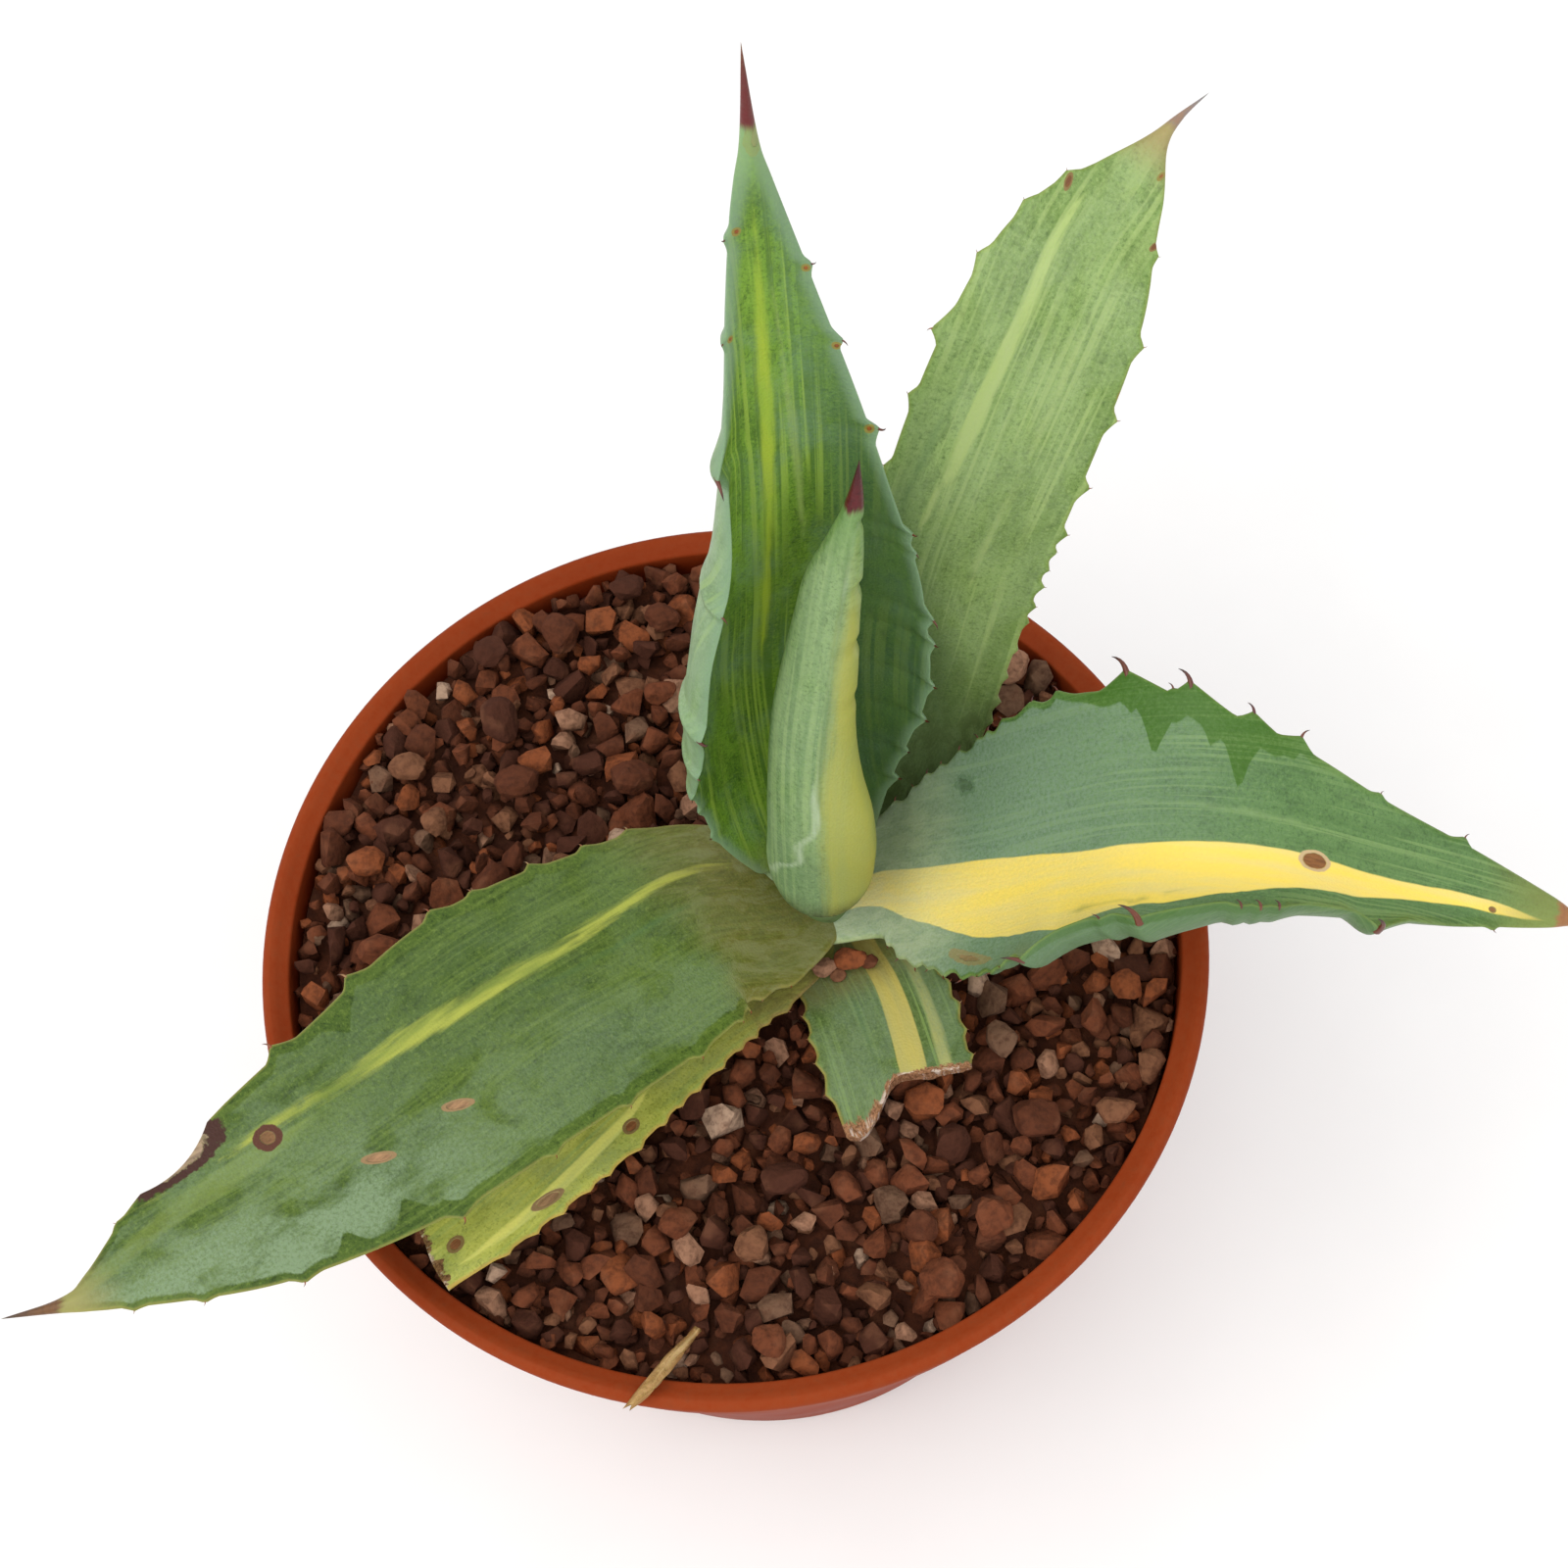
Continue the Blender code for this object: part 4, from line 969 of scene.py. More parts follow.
cutLeaf["look"] = dict(
    leafLook, deep=colour(0.07, 0.125, 0.028), mid=colour(0.145, 0.205, 0.058), mottle=0.55,
    stripe=colour(0.50, 0.42, 0.10), stripePale=colour(0.42, 0.38, 0.12), stripeWander=0.12,
    stripeSoft=0.14, thinTone=colour(0.37, 0.37, 0.12), thinStrength=0.9, wax=colour(0.19, 0.27, 0.16),
    margin=colour(0.34, 0.25, 0.05), marginWidth=0.38, base=colour(0.17, 0.13, 0.03), baseStrength=0.6,
    baseLength=6.0, dry=colour(0.40, 0.20, 0.10), dryPale=colour(0.62, 0.50, 0.42), dryLength=1.3,
)
dryScrap["look"] = dict(
    leafLook, deep=colour(0.30, 0.16, 0.05), mid=colour(0.50, 0.31, 0.12), streaks=0.8,
    streakTone=colour(0.60, 0.43, 0.20), fineness=320.0, streakLength=12.0, waxStrength=0.0,
    underTone=colour(0.36, 0.20, 0.08), margin=colour(0.27, 0.13, 0.04), marginWidth=0.3,
    baseStrength=0.0, spineLength=0.0, dry=colour(0.30, 0.15, 0.06), dryLength=0.5,
)
# Each kind of scar: inner tone, rim tone, the rim's share, raggedness and strength
scarKinds = dict(
    oval=(colour(0.30, 0.12, 0.035), colour(0.58, 0.42, 0.22), 0.22, 0.2, 1.0),
    smear=(colour(0.36, 0.17, 0.05), colour(0.30, 0.22, 0.08), 0.5, 0.7, 0.65),
    ring=(colour(0.24, 0.12, 0.05), colour(0.10, 0.035, 0.02), 0.42, 0.35, 1.0),
    tan=(colour(0.42, 0.24, 0.12), colour(0.30, 0.19, 0.09), 0.25, 0.25, 1.0),
    brown=(colour(0.26, 0.10, 0.035), colour(0.22, 0.14, 0.05), 0.3, 0.3, 1.0),
    burn=(colour(0.40, 0.28, 0.18), colour(0.055, 0.020, 0.014), 0.34, 0.6, 1.0),
    moss=(colour(0.055, 0.115, 0.04), colour(0.10, 0.18, 0.09), 0.3, 1.6, 0.6),
    rust=(colour(0.33, 0.10, 0.02), colour(0.24, 0.20, 0.04), 0.5, 0.5, 1.0),
)


# The wander, softness and seed of the edges of a leaf's thin bands and bud marks
bandEdges = dict(thin=(0.35, 0.35, 3.1), mark=(0.3, 0.45, 5.3))


def leafMaterial(name, look):
    values = dict(Specular_IOR_Level=0.25, Subsurface_Weight=0.10, Subsurface_Scale=0.0015,
                  Subsurface_Radius=(0.5, 0.9, 0.2))
    material, tree, shader = newMaterial(name, 0.45, **values)
    uv = put(tree, "ShaderNodeUVMap", uv_map="leafMap").outputs[0]

    def read(label):
        return pieceValue(tree, label)

    def stripe(skin, label, tone, paleTone, strength):
        wander, softness, seed = dict(bandEdges, broad=(look["stripeWander"], look["stripeSoft"], 1.7))[label]
        return useGroup(tree, stripeLayer, Color=skin, Vector=uv, Field=read(label), Wander=wander,
                        Softness=softness, Tone=tone, PaleTone=paleTone, Strength=strength, Seed=seed)

    made = useGroup(tree, leafSkin, Vector=uv, Deep=look["deep"], Mid=look["mid"],
                    StreakTone=look["streakTone"], Streaks=look["streaks"], DarkStreaks=look["darkStreaks"],
                    Fineness=look["fineness"], Length=look["streakLength"], Mottle=look["mottle"],
                    Seed=look["seed"])
    skin, slow, spots, grain = (made[label] for label in ("Color", "Slow", "Spots", "Grain"))
    if "thin" in look["has"]:
        skin = stripe(skin, "thin", look["thinTone"], look["thinTone"], look["thinStrength"])["Color"]
    place = read("placeMm")
    fadeStart, fadeEnd, kept = look["waxFade"]
    waxed = fit(tree, place, fadeStart, fadeEnd, look["waxStrength"], look["waxStrength"] * kept)
    if "broad" in look["has"]:
        made = stripe(skin, "broad", look["stripe"], look["stripePale"], 1.0)
        skin = made["Color"]
        waxed = product(tree, waxed, fit(tree, made["Mask"], 0.0, 1.0, 1.0, 0.25))
    lowSide, highSide = look["waxSides"]
    if lowSide != highSide:
        waxed = product(tree, waxed, fit(tree, split(tree, uv)[0], 0.42, 0.54, lowSide, highSide))
    bare = 0.0
    if look["bareStrength"]:
        start, end = look["bareSpan"]
        grown = fit(tree, place, start, start + 8, 0.0, look["bareStrength"])
        bare = product(tree, grown, fit(tree, place, end, end + 8, 1.0, 0.1))
    made = useGroup(tree, waxLayer, Color=skin, Vector=uv, Field=read("waxField"), Cover=look["waxCover"],
                    Strength=waxed, Tone=look["wax"], BareStrength=bare, BareTone=look["bareTone"],
                    Seed=look["seed"])
    skin, bloom = made["Color"], made["Mask"]
    # painted shade, where the leaf has a field for it
    if "dusk" in look["has"]:
        skin = useGroup(tree, paintedShadeLayer, Color=skin, Field=read("dusk"), Slow=slow,
                        Strength=look["duskStrength"], Tone=look["duskTone"])["Color"]
    if "mark" in look["has"]:
        skin = stripe(skin, "mark", look["markTone"], look["markTone"], look["markStrength"])["Color"]
    skin = useGroup(tree, edgeTones, Color=skin, Underside=read("underside"), Margin=read("marginMm"),
                    Place=place, Slow=slow, Spots=spots, Grain=grain, UnderTone=look["underTone"],
                    UnderStrength=look["underStrength"], MarginTone=look["margin"],
                    MarginStrength=look["marginStrength"], MarginWidth=look["marginWidth"],
                    BaseTone=look["base"], BaseStrength=look["baseStrength"], BaseLength=look["baseLength"],
                    StainTone=look["stain"], StainStrength=look["stainStrength"])["Color"]
    bump = useGroup(tree, skinRelief, Vector=uv, Lines=0.5, Grain=0.45)["Height"]
    for kind, across, along, halfLength, halfWidth, turn in look["scars"]:
        inner, outer, rim, ragged, strength = scarKinds[kind]
        made = useGroup(tree, scarLayer, Color=skin, Height=bump, Vector=uv, Across=across, Along=along,
                        HalfLength=halfLength, HalfWidth=halfWidth, Turn=turn, Rim=rim, Raggedness=ragged,
                        Strength=strength, InnerTone=inner, OuterTone=outer)
        skin, bump = made["Color"], made["Height"]
    rough = fit(tree, bloom, 0.0, 0.6, 0.42, 0.60)
    if look["dryLength"]:
        made = useGroup(tree, tornEdge, Color=skin, Roughness=rough, Tip=read("tipMm"), Spots=spots,
                        Grain=grain, Tone=look["dry"], PaleTone=look["dryPale"], Length=look["dryLength"])
        skin, rough = made["Color"], made["Roughness"]
    if look["spineLength"]:
        made = useGroup(tree, hornTip, Color=skin, Roughness=rough, Vector=uv, Tip=read("tipMm"),
                        TipTone=look["tip"], TipStrength=look["tipStrength"], TipLength=look["tipLength"],
                        SpineTone=look["spine"], SpineTipTone=look["spineTip"],
                        SpineLength=look["spineLength"])
        skin, rough = made["Color"], made["Roughness"]
    tree.links.new(rough, shader.inputs["Roughness"])
    dress(tree, shader, skin, bump, 0.5, 0.00022)
    return material


def toothMaterial():  # horn of the margin's hooks, from straw at the low tones to dark red at the high ones
    material, tree, shader = newMaterial("toothHorn", 0.35)
    tone = pieceValue(tree, "toothTone")
    tip = pieceValue(tree, "toothTip")
    ramp = put(tree, "ShaderNodeValToRGB", {0: tone})
    stops = ramp.color_ramp.elements
    stops[0].color = colour(0.45, 0.36, 0.17)
    stops[1].position = 1.0
    stops[1].color = colour(0.075, 0.010, 0.010)
    middle = stops.new(0.5)
    middle.color = colour(0.26, 0.075, 0.020)
    place = objectPlace(tree)
    mottle = clouds(tree, place, 2500.0, 2.0)
    horn = blend(tree, fit(tree, mottle, 0.3, 0.8, 0.0, 0.25), ramp.outputs[0], colour(0.20, 0.08, 0.03))
    dark = blend(tree, fit(tree, tip, 0.5, 0.9, 0.0, 0.85), horn, colour(0.022, 0.008, 0.008))
    dress(tree, shader, dark, mottle, 0.4, 0.0001)
    return material


bodyName = "root"
collection = scene.collection


def addObject(name, mesh, materials=()):
    made = bpy.data.objects.new(name, mesh)
    collection.objects.link(made)
    for material in materials:
        mesh.materials.append(material)
    return made


def roundFaces(bm, sharpAngle):  # smooth faces, with the edges above this many degrees left sharp
    for face in bm.faces:
        face.smooth = True
    for edge in bm.edges:
        edge.smooth = edge.calc_face_angle(0) < math.radians(sharpAngle)


def meshFrom(bm, name):
    mesh = bpy.data.meshes.new(name)
    bm.to_mesh(mesh)
    bm.free()
    return mesh


def storeValues(mesh, name, values, kind="FLOAT"):
    attribute = mesh.attributes.new(name, kind, "POINT")
    field = "vector" if kind == "FLOAT_VECTOR" else "value"
    attribute.data.foreach_set(field, np.asarray(values, np.float32).ravel())


def finishPiece(made, nodes):  # the calls that tie a finished piece to the frame
    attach(made, bodyName)
    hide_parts(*nodes)
    print("made", made.name, len(made.data.polygons), "faces")


def newTree(name, inputs):
    tree = bpy.data.node_groups.new(name, "GeometryNodeTree")
    tree.is_modifier = True
    addInputs(tree, {"Geometry": "NodeSocketGeometry", **inputs})
    tree.interface.new_socket("Geometry", in_out="OUTPUT", socket_type="NodeSocketGeometry")
    return tree, tree.nodes.new("NodeGroupInput").outputs, tree.nodes.new("NodeGroupOutput").inputs


def grow(holder, tree, values):  # what the tree makes on this object, as a plain mesh
    modifier = holder.modifiers.new("grow", "NODES")
    modifier.node_group = tree
    identifiers = {item.name: item.identifier for item in tree.interface.items_tree if item.in_out == "INPUT"}
    for label, value in values.items():
        modifier[identifiers[label]] = value
    graph = bpy.context.evaluated_depsgraph_get()
    mesh = bpy.data.meshes.new_from_object(holder.evaluated_get(graph), preserve_all_data_layers=True,
                                           depsgraph=graph)
    holder.modifiers.remove(modifier)
    return mesh


def keepNamed(tree, geometry, name, value):
    values = {"Geometry": geometry, "Name": name, "Value": value}
    return put(tree, "GeometryNodeStoreNamedAttribute", values, data_type="FLOAT", domain="POINT").outputs[0]


def readNamed(tree, name, kind="FLOAT"):
    node = put(tree, "GeometryNodeInputNamedAttribute", {"Name": name}, data_type=kind)
    return next(socket for socket in node.outputs if socket.enabled)


def makeToothTree():  # a hooked, flattened claw on each point, from its outward and forward directions
    inputs = {"Root Width": 0.22, "Hook": 0.75, "Flatness": 0.85, "Material": "NodeSocketMaterial"}
    tree, given, out = newTree("marginTeeth", inputs)
    end = combine(tree, 0.85, given["Hook"])
    values = {"Resolution": 6, "Start": (-0.5, -0.1, 0), "Middle": (0.6, -0.1, 0), "End": end}
    claw = put(tree, "GeometryNodeCurveQuadraticBezier", values).outputs[0]
    factor = put(tree, "GeometryNodeSplineParameter").outputs["Factor"]
    named = keepNamed(tree, claw, "toothTip", factor)
    taper = calc(tree, "POWER", minus(tree, 1.0, factor), 0.85)
    radius = plus(tree, product(tree, taper, given["Root Width"]), 0.015)
    circle = put(tree, "GeometryNodeCurvePrimitiveCircle", {"Resolution": 7, "Radius": 1.0}).outputs[0]
    values = {"Curve": named, "Profile Curve": circle, "Scale": radius, "Fill Caps": True}
    solid = put(tree, "GeometryNodeCurveToMesh", values).outputs[0]
    outward, forward = (readNamed(tree, name, "FLOAT_VECTOR") for name in ("outward", "forward"))
    values = {"Primary Axis": outward, "Secondary Axis": forward}
    turn = put(tree, "FunctionNodeAxesToRotation", values, primary_axis="X", secondary_axis="Y").outputs[0]
    size = readNamed(tree, "toothSize")
    scale = combine(tree, size, size, product(tree, size, given["Flatness"]))
    values = {"Points": given["Geometry"], "Instance": solid, "Rotation": turn, "Scale": scale}
    spread = put(tree, "GeometryNodeInstanceOnPoints", values).outputs[0]
    real = put(tree, "GeometryNodeRealizeInstances", {0: spread}).outputs[0]
    smooth = put(tree, "GeometryNodeSetShadeSmooth", {"Geometry": real}).outputs[0]
    values = {"Geometry": smooth, "Material": given["Material"]}
    finished = put(tree, "GeometryNodeSetMaterial", values).outputs[0]
    tree.links.new(finished, out["Geometry"])
    return tree


toothTree = makeToothTree()
toothHorn = toothMaterial()


def toothPoints(leaf, skin):  # where the teeth stand, in metres, with their directions, sizes and tones
    rings = skin["rings"]
    rng = random.Random(leaf["seed"] + 50)
    rows = []
    for side, place, size, hook in toothList(leaf):
        column = 0 if side > 0 else leafDetail["columns"]

        def at(values):
            return np.array([np.interp(place, rings["place"], values[:, k]) for k in range(3)])

        slope = np.interp(place, rings["place"], skin["slope"][:, column])
        outward = at(rings["side"]) * side * math.cos(slope) + at(rings["up"]) * math.sin(slope)
        spot = at(skin["points"][:, column]) * mm
        tone = rng.uniform(*leaf["look"]["toothTone"])
        rows.append((spot, outward, at(rings["along"]) * hook, size * leaf["look"]["thorn"] * mm, tone))
    return rows


def addTeeth(leaf, skin, made):
    rows = toothPoints(leaf, skin)
    if not rows:
        return
    mesh = bpy.data.meshes.new("toothSpots")
    mesh.from_pydata([row[0] for row in rows], [], [])
    kinds = dict(outward="FLOAT_VECTOR", forward="FLOAT_VECTOR", toothSize="FLOAT", toothTone="FLOAT")
    for index, (label, kind) in enumerate(kinds.items()):
        storeValues(mesh, label, [row[index + 1] for row in rows], kind)
    holder = addObject("toothSpots", mesh)
    teeth = addObject("teeth", grow(holder, toothTree, {"Material": toothHorn}))
    bpy.data.objects.remove(holder)
    both = [made, teeth]
    chosen = dict(active_object=made, object=made, selected_objects=both, selected_editable_objects=both)
    with bpy.context.temp_override(**chosen):
        bpy.ops.object.join()


def waxField(leaf, skin):  # distance inside the waxed part of the leaf, in mm
    place = skin["place"]
    field = np.full_like(place, 5.0)
    for side, column in ((-1, leafDetail["columns"]), (1, 0)):
        width = skin["half"][:, column][:, None]
        fromMargin = width - side * skin["across"]
        bare = np.full_like(place, 0.3)
        if "bare" in leaf:
            bare = softRead(leaf["bare"], 1 if side < 0 else 2, place)
        for rubSide, at, depth, reach in leaf.get("rubs", ()):
            if rubSide == side:
                bare = bare + depth * np.clip(1 - np.abs(place - at) / reach, 0, 1) ** 1.3
        field = np.minimum(field, fromMargin - bare)
    return field


def buildLeaf(leaf):
    skin = leafSurface(leaf)
    points = skin["points"]
    points[:, :, 2] += rimHeight
    count, around = points.shape[:2]
    half = around // 2
    trimmed = leaf.get("trimmed", False)
    vertices = points.reshape(-1, 3) * mm
    underside = np.tile(np.where(skin["upper"], 0.0, 1.0), (count, 1))
    values = dict(placeMm=skin["place"], tipMm=skin["toTip"], marginMm=skin["toMargin"], underside=underside,
                  waxField=waxField(leaf, skin))
    for label in leaf["fields"]:
        values[label] = fieldValues(leaf, label, skin["place"], skin["across"])
    faces = []
    uvs = []
    u = 0.5 + skin["across"] / 100
    v = skin["place"] / 100
    for r in range(count - 1):
        for c in range(around):
            d = (c + 1) % around
            shift = 0.0 if c < half else 2.0
            corners = ((r, c), (r + 1, c), (r + 1, d), (r, d))
            faces.append(tuple(row * around + column for row, column in corners))
            uvs += [(u[corner] + shift, v[corner]) for corner in corners]
    sideFaces = len(faces)
    for r in (0, count - 1) if trimmed else (0,):  # the cut ends
        for c in range(half):
            ring = (c, c + 1, (around - c - 1) % around, (around - c) % around)
            ring = tuple(dict.fromkeys(ring))
            faces.append(tuple(r * around + k for k in ring))
            uvs += [(u[r, k] + 4, v[r, k] + 0.01 * (k >= half)) for k in ring]
    if not trimmed:  # the point of the spine
        tip = np.array(leaf["stations"][-1][:3]) + (0, 0, rimHeight)
        vertices = np.vstack([vertices, tip * mm])
        atTip = dict(tipMm=0.0, marginMm=0.0, placeMm=skin["rings"]["end"])
        for label, rows in values.items():
            values[label] = np.append(rows.ravel(), atTip.get(label, rows[-1].mean()))
        last = (count - 1) * around
        for c in range(around):
            d = (c + 1) % around
            faces.append((last + c, len(vertices) - 1, last + d))
            uvs += [(u[-1, c], v[-1, c]), (0.5, v[-1, c] + 0.002), (u[-1, d], v[-1, d])]
    mesh = bpy.data.meshes.new(leaf["node"])
    mesh.from_pydata(vertices.tolist(), [], faces)
    layer = mesh.uv_layers.new(name="leafMap")
    layer.data.foreach_set("uv", np.array(uvs, np.float32).ravel())
    for label, rows in values.items():
        storeValues(mesh, label, rows)
    smooth = np.ones(len(faces), bool)
    if trimmed:
        smooth[sideFaces + half:] = False
    mesh.polygons.foreach_set("use_smooth", smooth)
    bm = bmesh.new()
    bm.from_mesh(mesh)
    bmesh.ops.recalc_face_normals(bm, faces=bm.faces)
    bm.to_mesh(mesh)
    bm.free()
    look = dict(leaf["look"], has=tuple(leaf["fields"]), seed=float(leaf["seed"]))
    if trimmed:
        look["spineLength"] = 0.0
    made = addObject(leaf["node"] + "_fine", mesh, (leafMaterial(leaf["node"] + "Skin", look), toothHorn))
    addTeeth(leaf, skin, made)
    finishPiece(made, (leaf["node"],))
    return made


plant = [buildLeaf(leaf) for leaf in allLeaves]
print("leaves ready")

potShape = dict(
    rimRadius=60.0, height=92.0, lipWidth=3.4, lipRound=1.2, lipSlope=1.0, bandHeight=13.0,
    bandDraft=2.0, bandProud=1.8, baseRadius=43.5, wall=2.0, floor=2.4, bossRadius=13.0, footWidth=5.0,
    recess=1.2, drainRadius=4.0, drainCircle=26.0, drains=6, drainSteps=40, steps=192,
    tone=colour(0.255, 0.032, 0.005), deepTone=colour(0.23, 0.027, 0.004),
    speckTone=colour(0.14025, 0.0176, 0.00275), dust=colour(0.34, 0.11, 0.045),
)
stemShape = dict(
    centre=(12.0, 0.0), top=9.0, bottom=-26.0, radius=6.0, topRadius=3.4, steps=96, ringGap=1.9,
    ringDepth=0.3, tone=colour(0.10, 0.16, 0.05), old=colour(0.17, 0.09, 0.035),
)
gravelLook = dict(
    bedDrop=3.2, bedTilt=1.3, bedTiltAzimuth=125.0, seed=11, variants=11, corners=18, sharpAngle=44,
    discSteps=96,
    layers=dict(  # depth under the bed's top, spacing, smallest and largest chip, reach, lift (mm), and seed
        deep=(2.5, 2.4, 2.8, 4.8, 55.0, 0.6, 31), small=(1.25, 1.95, 1.8, 3.4, 55.9, 1.0, 5),
        main=(0.5, 2.85, 3.1, 6.4, 54.8, 1.7, 21),
    ),
    clearance=0.46, sink=3.4, gap=0.3, gritBump=0.9, gritScale=0.35,
    heart=(  # x, y, height, size and tone of the chips lying on the cut leaf's base
        (13.9, -7.7, 2.8, 3.9, 0.70), (10.6, -8.2, 2.6, 2.9, 0.95), (16.2, -8.3, 2.6, 2.3, 0.30),
        (12.0, -9.3, 2.2, 2.0, 0.85),
    ),
    tones=(
        (0.0, colour(0.070, 0.024, 0.014)), (0.22, colour(0.105, 0.033, 0.016)),
        (0.46, colour(0.155, 0.047, 0.021)), (0.66, colour(0.23, 0.066, 0.024)),
        (0.78, colour(0.19, 0.082, 0.042)), (0.88, colour(0.16, 0.086, 0.052)),
        (0.94, colour(0.32, 0.165, 0.10)), (0.98, colour(0.44, 0.29, 0.20)),
    ),
    darkTone=colour(0.048, 0.017, 0.010), dustTone=colour(0.25, 0.105, 0.055), wear=0.6, dust=0.3,
)


turnedSharp = 35  # degrees; edges that bend more than this stay crisp on turned pieces


def turned(name, outline, steps):  # a closed outline of radius and height in mm, turned about Z
    bm = bmesh.new()
    for i in range(steps):
        angle = 2 * math.pi * i / steps
        for radius, height in outline[1:-1]:
            bm.verts.new((radius * mm * math.cos(angle), radius * mm * math.sin(angle), height * mm))
    low = bm.verts.new((0, 0, outline[0][1] * mm))
    high = bm.verts.new((0, 0, outline[-1][1] * mm))
    bm.verts.ensure_lookup_table()
    rows = len(outline) - 2
    for i in range(steps):
        a = i * rows
        b = (i + 1) % steps * rows
        for k in range(rows - 1):
            bm.faces.new([bm.verts[n] for n in (a + k, a + k + 1, b + k + 1, b + k)])
        bm.faces.new((low, bm.verts[a], bm.verts[b]))
        bm.faces.new((high, bm.verts[b + rows - 1], bm.verts[a + rows - 1]))
    bmesh.ops.recalc_face_normals(bm, faces=bm.faces)
    roundFaces(bm, turnedSharp)
    return meshFrom(bm, name)


def arc(centre, radius, start, end, count):
    angles = [math.radians(start + (end - start) * i / count) for i in range(count + 1)]
    return [(centre[0] + radius * math.cos(angle), centre[1] + radius * math.sin(angle)) for angle in angles]


def outerWall(height):
    top = potShape["rimRadius"] - potShape["bandDraft"] - potShape["bandProud"]
    share = min(height / (potShape["height"] - potShape["bandHeight"]), 1)
    return potShape["baseRadius"] + (top - potShape["baseRadius"]) * share


def potOutline():
    s = potShape
    bandFoot = s["height"] - s["bandHeight"]
    lipInner = s["rimRadius"] - s["lipWidth"]
    bandLow = s["rimRadius"] - s["bandDraft"]
    rows = [(0, s["floor"]), (outerWall(s["floor"]) - s["wall"] - 1.5, s["floor"])]
    rows += arc((outerWall(4.0) - s["wall"] - 1.5, s["floor"] + 1.5), 1.5, -90, 0, 5)[1:]
    rows += [(outerWall(h) - s["wall"], h) for h in np.linspace(8, bandFoot - 0.6, 12)]
    rows += [(outerWall(bandFoot) - s["wall"] + 0.15, bandFoot + 0.3), (lipInner - 0.25, bandFoot + 1.8),
             (lipInner, bandFoot + 2.3)]
    rows += [(lipInner, bandFoot + 5), (lipInner, s["height"] - s["lipSlope"] - 1.0)]
    rows += arc((lipInner + 0.5, s["height"] - s["lipSlope"] - 0.5), 0.5, 180, 100, 4)
    rows += [(lipInner + 1.4, s["height"] - s["lipSlope"] * 0.42)]
    rows += arc((s["rimRadius"] - s["lipRound"], s["height"] - s["lipRound"]), s["lipRound"], 90, -8, 9)
    bandTop = s["height"] - s["lipRound"]
    bandFall = s["bandHeight"] - s["lipRound"] - 0.9
    rows += [(s["rimRadius"] - s["bandDraft"] * k / 6, bandTop - bandFall * k / 6) for k in range(1, 6)]
    rows += arc((bandLow - 0.6, bandFoot + 0.6), 0.6, 0, -90, 5)
    rows += [(outerWall(bandFoot) + 0.3, bandFoot), (outerWall(bandFoot), bandFoot - 0.3)]
    rows += [(outerWall(h), h) for h in np.linspace(bandFoot - 4, 4, 14)]
    rows += arc((s["baseRadius"] - 1.0, 1.0), 1.0, 0, -90, 5)
    foot = s["baseRadius"] - 1.0 - s["footWidth"]
    rows += [(foot, 0), (foot - s["recess"], s["recess"]), (s["bossRadius"] + s["recess"], s["recess"]),
             (s["bossRadius"], 0), (0, 0)]
    return rows


def potMaterial():
    material, tree, shader = newMaterial("potPlastic", 0.6, Specular_IOR_Level=0.03)
    place = objectPlace(tree)
    slow = clouds(tree, place, 45.0, 4.0)
    speck = clouds(tree, place, 900.0, 3.0, 0.7)
    skin = blend(tree, fit(tree, slow, 0.35, 0.7), potShape["deepTone"], potShape["tone"])
    skin = blend(tree, fit(tree, speck, 0.56, 0.75, 0.0, 0.35), skin, potShape["speckTone"])
    x, y, z = split(tree, place)
    angle = calc(tree, "ARCTAN2", y, x)
    flowing = combine(tree, product(tree, angle, 0.6), 0.0, product(tree, z, 900.0))
    rings = clouds(tree, flowing, 1.0, 3.0)
    scratch = fit(tree, rings, 0.60, 0.66)
    dust = fit(tree, plus(tree, z, product(tree, slow, 0.012)), 0.089, 0.099)
    skin = blend(tree, product(tree, dust, speck, 0.35), skin, potShape["dust"])
    skin = blend(tree, product(tree, scratch, 0.10), skin, potShape["dust"])
    rough = fit(tree, plus(tree, slow, product(tree, scratch, 0.2)), 0.3, 0.8, 0.40, 0.56)
    tree.links.new(rough, shader.inputs["Roughness"])
    height = plus(tree, product(tree, speck, 0.5), product(tree, rings, 0.4))
    dress(tree, shader, skin, height, 0.35, 0.0002)
    return material


def buildPot():
    made = addObject("pot_fine", turned("pot_fine", potOutline(), potShape["steps"]), (potMaterial(),))
    bm = bmesh.new()
    for i in range(potShape["drains"]):
        angle = 2 * math.pi * i / potShape["drains"]
        centre = Vector((math.cos(angle), math.sin(angle), 0)) * potShape["drainCircle"] * mm
        radius = potShape["drainRadius"] * mm
        new = bmesh.ops.create_cone(
            bm, cap_ends=True, segments=potShape["drainSteps"], radius1=radius, radius2=radius, depth=0.02,
        )
        bmesh.ops.translate(bm, verts=new["verts"], vec=centre)
    cutter = addObject("drains", meshFrom(bm, "drains"))
    holes = made.modifiers.new("holes", "BOOLEAN")
    holes.operation = "DIFFERENCE"
    holes.solver = "EXACT"
    holes.object = cutter
    graph = bpy.context.evaluated_depsgraph_get()
    made.data = bpy.data.meshes.new_from_object(made.evaluated_get(graph), depsgraph=graph)
    made.modifiers.clear()
    bpy.data.objects.remove(cutter)
    finishPiece(made, ("pot",))


buildPot()


